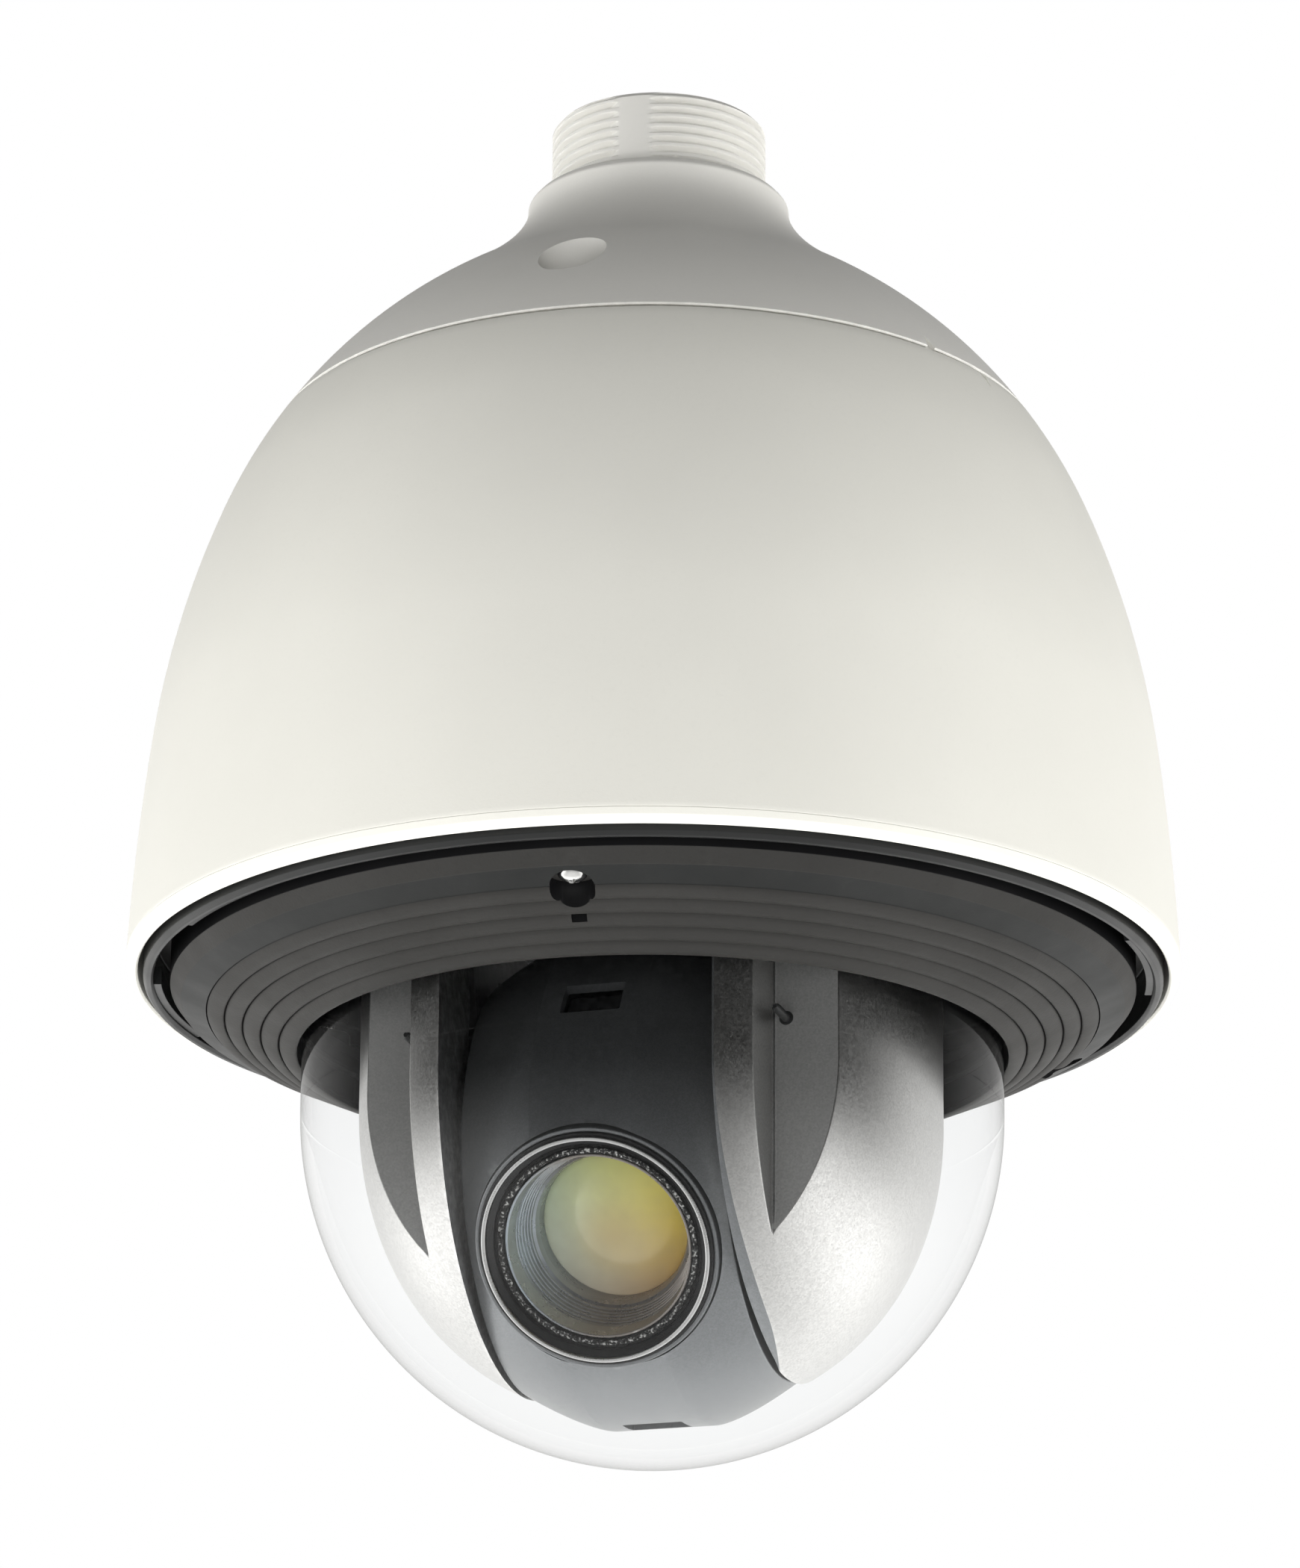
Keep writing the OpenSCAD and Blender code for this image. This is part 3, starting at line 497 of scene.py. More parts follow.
def circuit(name, mask):
    """Solder mask with lighter raised tracks, and gold-coloured pads."""
    look = Look(name, Coat_Weight=0.3, Coat_Roughness=0.2)
    tracks = look.add("ShaderNodeTexBrick", {
        "Vector": look.place, "Scale": 1 / (5 * MM), "Mortar Size": 0.06, "Brick Width": 0.9,
        "Row Height": 0.3, "Color1": (*mask, 1), "Color2": (*shade(mask, 0.7), 1),
        "Mortar": (*shade(mask, 1.9), 1)}, offset=0.37)
    pads = look.spread(look.cells(2.4), 1.0, 0.0, 0.16, 0.2)
    base = look.blend(pads, tracks.outputs["Color"], (0.55, 0.48, 0.3))
    gloss = look.spread(look.noise(4, 3), 0.25, 0.42)
    relief = look.bump(tracks.outputs["Fac"], 0.03, 0.5)
    return look.set(Base_Color=base, Roughness=gloss, Normal=relief)


LOOKS = {
    "cap_paint": moulded("cap_paint", (0.73, 0.72, 0.68), 0.48, 0.45, 0.018, 0.015),
    "hood_plastic": moulded("hood_plastic", (0.785, 0.775, 0.715), 0.5, 0.5, 0.02, 0.015),
    "housing_dark": moulded("housing_dark", (0.014, 0.0145, 0.0145), 0.4, 0.4, 0.015, 0.08,
                            Specular_IOR_Level=0.4),
    "trim_plastic": moulded("trim_plastic", (0.012, 0.0128, 0.0125), 0.5, 0.35, 0.02, 0.07,
                            Specular_IOR_Level=0.22),
    "trim_textured": moulded("trim_textured", (0.026, 0.0252, 0.0235), 0.62, 0.7, 0.06, 0.1,
                             Specular_IOR_Level=0.25),
    "black_rubber": moulded("black_rubber", (0.012, 0.012, 0.012), 0.75, 0.3, 0.03, 0.1),
    "gasket_foam": foam("gasket_foam"),
    "black_plastic": moulded("black_plastic", (0.006, 0.006, 0.0065), 0.42, 0.4, 0.02, 0.1,
                             Specular_IOR_Level=0.35),
    "green_plastic": moulded("green_plastic", (0.05, 0.3, 0.12), 0.35, 0.4, 0.012, 0.06),
    "gear_plastic": moulded("gear_plastic", (0.72, 0.70, 0.64), 0.38, 0.4, 0.01, 0.04,
                            Subsurface_Weight=0.15, Subsurface_Scale=0.002),
    "drum_grey": flaked_paint("drum_grey", (0.25, 0.26, 0.27), 0.4, 0.25, 0.88),
    "cover_silver": flaked_paint("cover_silver", (0.74, 0.735, 0.725), 0.41, 0.35, 1.0),
    "pocket_silver": flaked_paint("pocket_silver", (0.56, 0.56, 0.55), 0.5, 0.35, 0.82),
    "screw_chrome": metal("screw_chrome", (0.86, 0.86, 0.85), 0.14),
    "steel": metal("steel", (0.56, 0.56, 0.55), 0.3),
    "aluminium": metal("aluminium", (0.42, 0.42, 0.43), 0.38, (12, 1, 1)),
    "brass": metal("brass", (0.72, 0.53, 0.24), 0.3, (1, 1, 8)),
    "motor_steel": metal("motor_steel", (0.42, 0.42, 0.43), 0.34, (1, 1, 10)),
    "port_metal": metal("port_metal", (0.80, 0.80, 0.80), 0.3, size=0.3),
    "barrel_metal": barrel_paint("barrel_metal"),
    "circuit_board": circuit("circuit_board", (0.02, 0.13, 0.055)),
    "clear_dome": clear_shell("clear_dome", 0.52, (0.14, 0.15, 0.15)),
    # Seen through the curved wall, the inside surface shows no rim of its own
    "clear_lining": clear_shell("clear_lining", 0.0, (0.988, 0.99, 0.99)),
    "coated_glass": coated_lens("coated_glass"),
}


# ---- Hood and cap ----

hood_lean = math.radians(2.43)
arcs = ((31.0, 80.2, 588.0), (80.2, 131.4, 203.0), (131.4, 400.0, 115.0))


def lean_at(h):
    """Sine of how far the hood's wall leans in at a height."""
    return math.sin(hood_lean) + sum(max(0.0, min(h, top) - low) / r for low, top, r in arcs)


def shell_r(h):
    """Outer radius of the hood and cap, which follow three arcs, each tighter than the last."""
    radius = hood_r
    for low, top, r in arcs:
        if h > low:
            cos_low = math.sqrt(1 - lean_at(low) ** 2)
            cos_here = math.sqrt(1 - lean_at(min(h, top)) ** 2)
            radius -= r * (cos_low - cos_here)
    return radius


def shell_line(low, high, count, inset=0.0):
    """Points (radius, height) that follow the hood and cap's skin between two heights."""
    span = [low + (high - low) * i / count for i in range(count + 1)]
    return [(shell_r(h) - inset, h) for h in span]


def thread_shape(angle, r, h):
    """Right-handed thread, wiped flat along two strips that its crests taper into."""
    if h < seat_h + 0.05 or r < cable_r + 2:
        return r, h
    depth = thread_depth * smooth_step(0.7, 2.2, h - seat_h)
    phase = ((h - seat_h) / thread_pitch - angle / (2 * math.pi)) % 1.0
    crest = smooth_step(0.08, 0.8, abs(2 * phase - 1))
    threaded = thread_r - depth * (1 - crest)
    strip_r = thread_r - 0.4
    away = min(abs((math.degrees(angle) - middle + 180) % 360 - 180) for middle in (-14, 166))
    beyond = max(0.0, away - 8.6)
    threaded = min(threaded, strip_r + beyond * 0.10)
    threaded = max(threaded, strip_r - beyond * 0.17)
    chamfer = thread_r - 0.1 - max(0.0, h - (thread_top - 1.3)) * 0.95
    return min(r, threaded, chamfer), h


def tick_notch(angle, h, length):
    """Tapered nick in the shell's skin, from just across the seam to length above or below it."""
    out = shell_r(h)
    tip = shell_r(h + length)
    corners = [(-1.3, out - 1.2, h), (1.3, out - 1.2, h), (0, tip - 0.2, h + length)]
    corners += [(x * 1.4, r + 4, z) for x, r, z in corners]
    across_seam = math.copysign(0.6, -length)
    bm = bmesh.new()
    nick = [bm.verts.new((x, -r, z + (across_seam if z == h else 0))) for x, r, z in corners]
    for face in ((0, 1, 2), (3, 4, 5), (0, 1, 4, 3), (1, 2, 5, 4), (2, 0, 3, 5)):
        bm.faces.new([nick[i] for i in face])
    outward(bm)
    bm.transform(at_angle(angle, 0))
    return bm


def make_cap():
    """Cap over the hood: flared neck, pipe thread, and screw wells down to the posts."""
    crease_h = 186.5
    neck_r = 29.0
    neck_top = 208.0
    crease_r = shell_r(crease_h)
    bottom = seam_h + seam_gap
    rise = neck_top - crease_h
    neck = []
    neck_steps = 14
    for i in range(1, neck_steps + 1):
        h = crease_h + rise * i / neck_steps
        neck.append((neck_r + (crease_r - neck_r) * ((neck_top - h) / rise) ** 1.7, h))
    shoulder = [(neck_r, neck_top + 1.2, 2.0), (neck_r - 1.6, seat_h, 1.6), (thread_r, seat_h)]
    threads = int(thread_top - seat_h) * 7
    thread = [(thread_r, seat_h + (thread_top - seat_h) * i / threads) for i in range(1, threads + 1)]
    outline = soften([
        (cable_r, 175.0, 1.5), (70, 158, 1.5), (74, bottom), (shell_r(bottom) - 0.55, bottom),
        (shell_r(bottom + 0.4), bottom + 0.4), *shell_line(bottom + 1.0, crease_h, 30),
        *neck, *shoulder, *thread, (cable_r + 1.0, thread_top), (cable_r, thread_top - 1)])
    body = lathe(outline, 288, thread_shape)
    cutters = []
    well = soften([(0, 166), (7.25, 166, 1.2), (7.25, 196), (0, 196)])
    screw_way = soften([(0, 150), (4.8, 150), (4.8, 167), (0, 167)])
    for angle in post_angles:
        place = at_angle(angle, post_circle_r)
        cutters.append(("DIFFERENCE", lathe(well, 64, turn=place)))
        cutters.append(("DIFFERENCE", lathe(screw_way, 40, turn=place)))
    cutters.append(("DIFFERENCE", tick_notch(44, bottom, 3.4)))
    post = [(4.9, 145), (7, 145), (7, 165.4), (4.9, 165.4)]
    posts = [lathe(post, 40, turn=at_angle(angle, post_circle_r)) for angle in post_angles]
    rim = lathe([(75, seam_h), (80, seam_h), (80, seam_h + 3), (75, seam_h + 3)], 128)
    made = joined(carve(body, *cutters), *posts, rim)
    piece("mounting_cap_skin", made, HOUSING, "housing", "cap_paint", ["mounting_cap"])


def make_hood():
    """Thin shell from the rounded lip up to the seam, and the flange under the cap."""
    lip = [(110.4, hood_low + 0.5, 0.3), (110.9, hood_low, 0.4), (111.9, hood_low + 0.1, 0.8),
           (112.7, hood_low + 1.5, 0.9), (shell_r(32.2), 32.2), (shell_r(32.2) - 0.12, 32.4),
           (shell_r(32.6), 32.6)]
    flange = [(58, seam_h, 0.4), (58, seam_h - hood_wall, 0.4)]
    outline = soften(lip + shell_line(33.4, seam_h - 0.5, 56) + [(shell_r(seam_h) - 0.5, seam_h)]
                     + flange + shell_line(seam_h - hood_wall, 34, 30, hood_wall)
                     + [(110.4, 33)])
    body = lathe(outline, 288)
    hole = [(0, seam_h - 5), (7.2, seam_h - 5), (7.2, seam_h + 5), (0, seam_h + 5)]
    cutters = []
    for angle in post_angles:
        cutters.append(("DIFFERENCE", lathe(hole, 48, turn=at_angle(angle, post_circle_r))))
    cutters.append(("DIFFERENCE", tick_notch(55, seam_h, -4.2)))
    made = carve(body, *cutters)
    piece("sun_hood_skin", made, HOUSING, "housing", "hood_plastic", ["sun_hood"])


def make_inner_housing():
    """Dark can, whose flange shows as the rim inside the hood's lower edge."""
    lip_r = 107.0
    can_r = 95.0
    outline = soften([
        (lip_r, housing_low + 0.7, 0.4), (lip_r + 0.6, housing_low, 0.4),
        (flange_r - 0.7, housing_low, 0.6), (flange_r, housing_low + 1.1, 0.6), (flange_r, 41, 0.5),
        (can_r, 41, 1.0), (can_r, 118, 2.0), (82, 145, 2.0), (78, 145), (78, seam_h - hood_wall, 0.4),
        (74.2, seam_h - hood_wall, 0.4), (74.2, 145), (cable_r, 145, 0.5), (cable_r, 142, 0.5),
        (80.5, 142, 1), (92, 117, 1), (92, 38, 1), (lip_r, 38, 0.5)])
    tab = soften([(105.4, 28.5, 0.3), (107.3, 28.5), (107.3, 32.5), (105.4, 32.5, 0.3)])
    tabs = [lathe(tab, 16, start=-100 + 45 * k - 10.75, sweep=21.5) for k in range(8)]
    lower_boss = soften([(2.1, 39, 0.3), (5, 39, 0.5), (5, 51, 0.8), (2.1, 51, 0.3)])
    upper_boss = soften([(2.1, 131, 0.3), (5, 131, 0.5), (5, 143), (2.1, 143)])
    bosses = [lathe(lower_boss, 40, turn=at_angle(angle, screw_circle_r)) for angle in screw_angles]
    bosses += [lathe(upper_boss, 40, turn=at_angle(angle, post_circle_r)) for angle in post_angles]
    made = joined(lathe(outline, 256), *tabs, *bosses)
    piece("inner_housing_skin", made, HOUSING, "housing", "housing_dark", ["inner_housing"])


# ---- Trim ring and dome ----

ring_lip_r = 76.0
ring_lip_h = 12.8
ring_slope = 0.452
rib_count = 5
rib_pitch = 3.9
rib_rise = 0.8
groove_depth = 0.4
screw_seat_h = 24.6
ribs_end_r = ring_lip_r + rib_count * rib_pitch


def ring_h(r):
    """Height of the ring's sloping underside at a radius, leaving out its ribs."""
    return ring_lip_h + (r - ring_lip_r) * ring_slope


def make_trim_ring():
    """Ribbed cone round the dome, with wells and bosses for its three screws."""
    ribs = [(ring_lip_r, ring_h(ring_lip_r), 0.3)]
    steps = 10
    for i in range(rib_count):
        for j in range(1, steps):
            r = ring_lip_r + (i + j / steps) * rib_pitch
            ribs.append((r, ring_h(r) - rib_rise * math.sin(math.pi * j / steps) ** 0.65))
        r = ring_lip_r + (i + 1) * rib_pitch
        ribs += [(r - 0.14, ring_h(r)), (r, ring_h(r) + groove_depth), (r + 0.14, ring_h(r))]
    outline = soften([
        *ribs, (ribs_end_r + 0.5, ring_h(ribs_end_r + 0.5)), (98.5, ring_h(98.5)),
        (101, ring_h(101), 0.5), (ring_r, 27.2, 0.5), (ring_r, ring_top, 0.4),
        (ring_r - 3.4, ring_top, 0.4), (ring_r - 3.4, 27.5, 0.4), (90, 25, 0.4), (88.2, 21.5, 0.4),
        (86, 20, 0.3), (dome_r + 1.6, 20, 0.3), (dome_r + 1.6, 15), (ring_lip_r, 14, 0.3)])
    body = lathe(outline, 360)
    boss = soften([(2.2, 24), (5.4, 24), (5.4, ring_top, 0.4), (2.2, ring_top, 0.4)])
    well = [(0, 8), (4.65, 8), (4.65, screw_seat_h), (2.2, screw_seat_h), (2.2, 60), (0, 60)]
    notch = rectangle(3.2, 1.4, 0.1, (0, 8))
    bosses = []
    cutters = []
    for angle in screw_angles:
        place = at_angle(angle, screw_circle_r)
        bosses.append(lathe(boss, 40, turn=place))
        cutters.append(("DIFFERENCE", lathe(well, 64, turn=place)))
        cutters.append(("DIFFERENCE", prism(notch, 8, 19.7, place)))
    made = joined(carve(body, *cutters), *bosses)

    def finish(centre, normal):
        """1 on the grained ribs and chamfer, 2 on the walls, painted black as shade, else 0."""
        r = math.hypot(centre.x, centre.y)
        # Walls get black plastic as painted shade
        if normal.z > -0.35:
            return 2
        return int(r < ribs_end_r or r > 100.8)

    piece("trim_ring_skin", made, HOUSING, "housing", "trim_plastic", ["trim_ring"],
          sharp=50, others=("trim_textured", "black_plastic"), pick=finish)


def screw_head(head_r, head_t, cross, shank_r, length, turns=48):
    """Domed head facing -Z with a tapered cross recess, and a ringed shank above it."""
    tilts = [math.radians(9.0 * i) for i in range(10)]
    dome = [(head_r * math.sin(a), -head_t * math.cos(a) ** 1.2) for a in tilts]
    shank = []
    count = int(length / 0.8)
    for i in range(count):
        h = 0.4 + (length - 1.2) * i / count
        shank += [(shank_r, h), (shank_r * 0.8, h + 0.35)]
    outline = dome + [(head_r, -0.25), (head_r - 0.2, 0), (shank_r, 0), *shank,
                      (shank_r * 0.5, length), (0, length)]
    head = lathe(outline, turns)
    mouth = (-head_t - 0.5, cross, cross * 0.2)
    root = (-head_t * 0.35, cross * 0.35, cross * 0.13)
    steps = []
    for angle in (0, 90):
        wing = bmesh.new()
        rings = []
        for h, half, thick in (mouth, root):
            corners = ((-half, -thick), (half, -thick), (half, thick), (-half, thick))
            rings.append([wing.verts.new((x, y, h)) for x, y in corners])
        bridge(wing, rings, True, False)
        for ring in rings:
            wing.faces.new(ring)
        wing.transform(Matrix.Rotation(math.radians(angle), 4, "Z"))
        outward(wing)
        steps.append(("DIFFERENCE", wing))
    return carve(head, *steps)


def make_trim_screws():
    """Captive cross-head screws in the ring's three wells."""
    screws = []
    for angle in screw_angles:
        head = screw_head(3.3, 2.2, 1.9, 2.0, 20)
        cross_turn = Matrix.Rotation(math.radians(28), 4, "Z")
        head.transform(at_angle(angle, screw_circle_r, screw_seat_h) @ cross_turn)
        screws.append(head)
    piece("trim_screw_set", joined(*screws), HOUSING, "housing", "screw_chrome", ["trim_screws"])


def make_dome():
    """Hemisphere with a short straight collar and a clamping flange."""
    inner_r = dome_r - dome_wall
    tilts = [math.radians(1.5 * i) for i in range(60)]
    outer = [(dome_r * math.sin(a), -dome_r * math.cos(a)) for a in tilts[:-1]]
    inner = [(inner_r * math.sin(a), -inner_r * math.cos(a)) for a in reversed(tilts)]
    # A fine mould line runs where the sphere meets the collar
    line = [(dome_r - 0.005, -0.8), (dome_r, -0.2), (dome_r - 0.1, 0), (dome_r, 0.2), (dome_r, 0.8)]
    outline = soften([*outer, *line, (dome_r, 20), (dome_r, 21.2, 0.6), (bubble_flange_r, 21.2, 0.3),
                      (bubble_flange_r, bubble_top, 0.3), (inner_r, bubble_top, 0.5), (inner_r, 0.2),
                      *inner])

    def inside(centre, normal):
        """1 on the inner surface, 0 on the outer."""
        r = centre.length if centre.z < 0 else math.hypot(centre.x, centre.y)
        return int(r < dome_r - 1)

    piece("dome_bubble_skin", lathe(outline, 256), HOUSING, "housing", "clear_dome",
          ["dome_bubble"], others=("clear_lining",), pick=inside)


# ---- Side covers ----

cover_x = 29.3
cover_a = 61.2
cover_b = 63.6
cover_power = 2.2
cover_mid = -1.0
cover_wall = 2.2
plate_t = 2.0
pocket_x = 37.0
pocket_y = 38.0
opening_r = 37.0
ledge_w = 3.0
least_ledge = 0.2
ledge_depth = 0.8
ledge_fade = 0.8
cover_top = heights("side_cover_right")[1]


def cover_reach(x, inset):
    """Radius of a cover's skin about its own axis, at x along that axis."""
    share = 1 - (x / (cover_a - inset)) ** cover_power
    return (cover_b - inset) * max(0.0, share) ** (1 / cover_power)


def cover_skin(level, inset, ledge):
    """Line (x, radius) from a cover's inner edge to its tip, with a pocket down to level."""
    plate = plate_t if inset else 0.0
    start = cover_x + plate
    wall_x = pocket_x - plate
    top_r = cover_reach(wall_x, inset)
    floor_r = min(top_r, level - plate)
    a = cover_a - inset
    floor_x = a * (1 - (floor_r / (cover_b - inset)) ** cover_power) ** (1 / cover_power)
    edge_x = start + ledge
    edge_r = cover_reach(edge_x, inset)
    share = min(1.0, ledge / ledge_fade)
    floor_line = edge_r - ledge_depth * share
    line = [(start, floor_line), (edge_x - 0.05 * share, floor_line), (edge_x, edge_r)]
    shoulder_steps = 9
    for i in range(1, shoulder_steps):
        x = edge_x + (wall_x - edge_x) * i / shoulder_steps
        line.append((x, cover_reach(x, inset)))
    size = 0.0 if inset else 1.0
    beyond_x = floor_x + 0.8
    line += soften([line[-1], (wall_x, top_r, 0.5 * size), (wall_x, floor_r, 1.1 * size),
                    (floor_x, floor_r, 0.7 * size), (beyond_x, cover_reach(beyond_x, inset))],
                   False, 4)[1:]
    first = math.asin(min(1.0, (beyond_x / a) ** (cover_power / 2)))
    round_steps = 28
    for i in range(1, round_steps + 1):
        s = math.sin(first + (math.pi / 2 - first) * i / round_steps)
        line.append((a * s ** (2 / cover_power),
                     (cover_b - inset) * max(0.0, 1 - s * s) ** (1 / cover_power)))
    return line


def cover_ring(level, ledge):
    """Whole wall's line: outer tip, outer skin, inner plate, inner skin, inner tip."""
    outer = cover_skin(level, 0.0, ledge)
    inner = cover_skin(level, cover_wall, 0.0)
    return outer[::-1] + [(cover_x, opening_r), (cover_x + plate_t, opening_r)] + inner


def make_cover(side):
    """Cover on one side of the drum (-1 left, 1 right): straight above its middle, round below."""
    bm = bmesh.new()
    rings = []
    uppers = 10
    # Only the right cover shows a sunk ledge along its inner edge
    ledged = float(side > 0)
    upper_ring = cover_ring(pocket_y, least_ledge * ledge_w * ledged)
    for i in range(uppers):
        h = cover_top + (cover_mid - cover_top) * i / uppers
        rings.append([bm.verts.new((x, -r, h)) for x, r in upper_ring])
    turns = 120
    for i in range(turns + 1):
        degrees = 180 * i / turns
        v = math.pi * i / turns
        level = pocket_y / max(0.05, abs(math.cos(v)))
        ledge = ledge_w * (least_ledge + (1 - least_ledge) * smooth_step(5, 62, degrees))
        ledge *= math.sqrt(max(0.0, 1 - smooth_step(64, 86, degrees)))
        if degrees > 90:
            ledge = least_ledge * ledge_w * smooth_step(120, 150, degrees)
        rings.append([bm.verts.new((x, -r * math.cos(v), cover_mid - r * math.sin(v)))
                      for x, r in cover_ring(level, ledge * ledged)])
    for i in range(1, uppers + 1):
        h = cover_mid + (cover_top - cover_mid) * i / uppers
        rings.append([bm.verts.new((x, r, h)) for x, r in upper_ring])
    bridge(bm, rings, False, False)
    bm.faces.new(rings[0] + rings[-1][::-1])
    bmesh.ops.remove_doubles(bm, verts=bm.verts, dist=0.01)
    bmesh.ops.dissolve_degenerate(bm, edges=bm.edges, dist=0.005)
    bm.transform(Matrix.Scale(side, 4, (1, 0, 0)))
    outward(bm)
    name = "right" if side > 0 else "left"

    def finish(centre, normal):
        """1 on the ledge's floor, painted darker as shade; 2 on the pocket's floor; 0 on the silver skin."""
        x = abs(centre.x)
        r = math.hypot(centre.y, min(0.0, centre.z - cover_mid))
        if x > pocket_x and abs(abs(centre.y) - pocket_y) < 0.3 and abs(normal.y) > 0.98:
            return 2
        sunk = cover_reach(x, 0.0) - r > 0.25 and r - cover_reach(x, cover_wall) > 0.3
        # The ledge's floor gets the drum's darker grey as painted shade
        return int(x < cover_x + ledge_w + 0.1 and sunk and abs(normal.x) < 0.7)

    piece("side_cover_" + name + "_skin", bm, HEAD, "pan_head", "cover_silver",
          ["side_cover_" + name], sharp=28, others=("drum_grey", "pocket_silver"), pick=finish)


def make_cover_screws():
    """One small dark screw on the floor of each cover's front and rear pocket."""
    screw_x = 40
    screw_y = pocket_y + 0.02
    screw_h = 8
    screws = []
    for side in (-1, 1):
        for face in (-1, 1):
            head = screw_head(1.7, 1.0, 1.0, 0.95, 9, 32)
            turn = Matrix.Rotation(math.radians(-90 * face), 4, "X")
            head.transform(Matrix.Translation((side * screw_x, face * screw_y, screw_h)) @ turn)
            screws.append(head)
    piece("cover_screw_set", joined(*screws), HEAD, "pan_head", "steel", ["cover_screws"],
          look="housing_dark")


# ---- Drum ----

drum_r = 52.5
drum_flat = 11.0
drum_half = 28.3
drum_edge_r = 44.5
drum_wall = 2.2
window_angles = (-64, 64)
port_r = 25.0
collar_r = 26.0
collar_out = 47.4


def drum_outline(inset):
    """Closed outline (radius, distance along the axle) of the drum's body of revolution."""
    half = drum_half - inset
    flank = []
    flank_steps = 14
    for i in range(1, flank_steps + 1):
        x = drum_flat + (half - drum_flat) * i / flank_steps
        fall = (drum_r - drum_edge_r) * ((x - drum_flat) / (drum_half - drum_flat)) ** 1.35
        flank.append((drum_r - inset - fall, x))
    side = [(drum_r - inset, 0), (drum_r - inset, drum_flat * 0.5), (drum_r - inset, drum_flat, 0.5)]
    flank[-1] = (*flank[-1], 0.6)
    upper = side + flank + [(0, half)]
    lower = [(p[0], -p[1], *p[2:]) for p in upper[:0:-1]]
    return soften(lower + upper, steps=3)


def half_space(side):
    """Block that keeps the drum's front half (-1) or rear half (1)."""
    return prism(rectangle(140, 70, 0.1, (0, side * 35.1)), -70, 70)


def drum_shell(side):
    """Front (-1) or rear (1) half shell, with axle holes and screw wells, and the front's openings."""
    shell = lathe(drum_outline(0.0), 240, turn=AXLE)
    hollow = lathe(drum_outline(drum_wall), 120, turn=AXLE)
    axle_hole_r = 5.2
    axle_hole = [(0, -40), (axle_hole_r, -40), (axle_hole_r, 40), (0, 40)]
    steps = [("DIFFERENCE", hollow), ("INTERSECT", half_space(side)),
             ("DIFFERENCE", lathe(axle_hole, 48, turn=AXLE))]
    well = [(0, 22), (1.3, 22), (1.3, 27.4), (2.7, 27.4), (2.7, 34), (0, 34)]
    well_y = 14 * side
    for x in (-1, 1):
        place = Matrix.Translation((0, well_y, 0)) @ Matrix.Scale(x, 4, (1, 0, 0)) @ AXLE
        tool = lathe(well, 32, turn=place)
        # A mirrored mesh has its faces inside out
        outward(tool)
        steps.append(("DIFFERENCE", tool))
    if side < 0:
        hole_r = collar_r + 0.35
        port_hole = [(0, 20), (hole_r, 20), (hole_r, 60), (0, 60)]
        steps.append(("DIFFERENCE", lathe(port_hole, 192, turn=FRONT)))
        for angle in window_angles:
            turn = Matrix.Rotation(math.radians(angle), 4, "X") @ FRONT
            steps.append(("DIFFERENCE", prism(rectangle(13, 8.4, 0.5), 46, 60, turn)))
    return carve(shell, *steps)


def make_drum():
    """Front half with its port collar and latches, and rear half."""
    # A web carries the collar behind the fine groove round it
    collar = lathe(soften([(port_r + 0.05, 40), (collar_r + 1.5, 40), (collar_r + 1.5, 43.5),
                           (collar_r, 43.5), (collar_r, 45.6), (collar_r, collar_out, 0.35),
                           (port_r + 0.05, collar_out, 0.25)]), 192, turn=FRONT)
    tongues = []
    for angle in window_angles:
        turn = Matrix.Rotation(math.radians(angle), 4, "X") @ FRONT
        tongues.append(prism(rectangle(12.6, 8.0, 0.4), 47.2, 48.9, turn))
        lip_y = math.copysign(3.4, angle)
        tongues.append(prism(rectangle(12.6, 0.9, 0.3, (0, lip_y)), 48.6, 50.4, turn))
    front = joined(drum_shell(-1), collar, *tongues)

    def latch(centre, normal):
        """1 on the black latches in the two windows, 0 on the painted shell."""
        r = math.hypot(centre.y, centre.z)
        return int(r < 50.5 and abs(centre.x) < 6.4 and centre.y < -10 and abs(centre.z) > 35)

    piece("drum_front_skin", front, DRUM, "camera_drum", "drum_grey", ["drum_front_shell"], sharp=24,
          others=("black_plastic",), pick=latch)
    piece("drum_rear_skin", drum_shell(1), DRUM, "camera_drum", "drum_grey", ["drum_rear_shell"],
          sharp=24)


# ---- Lens port ----


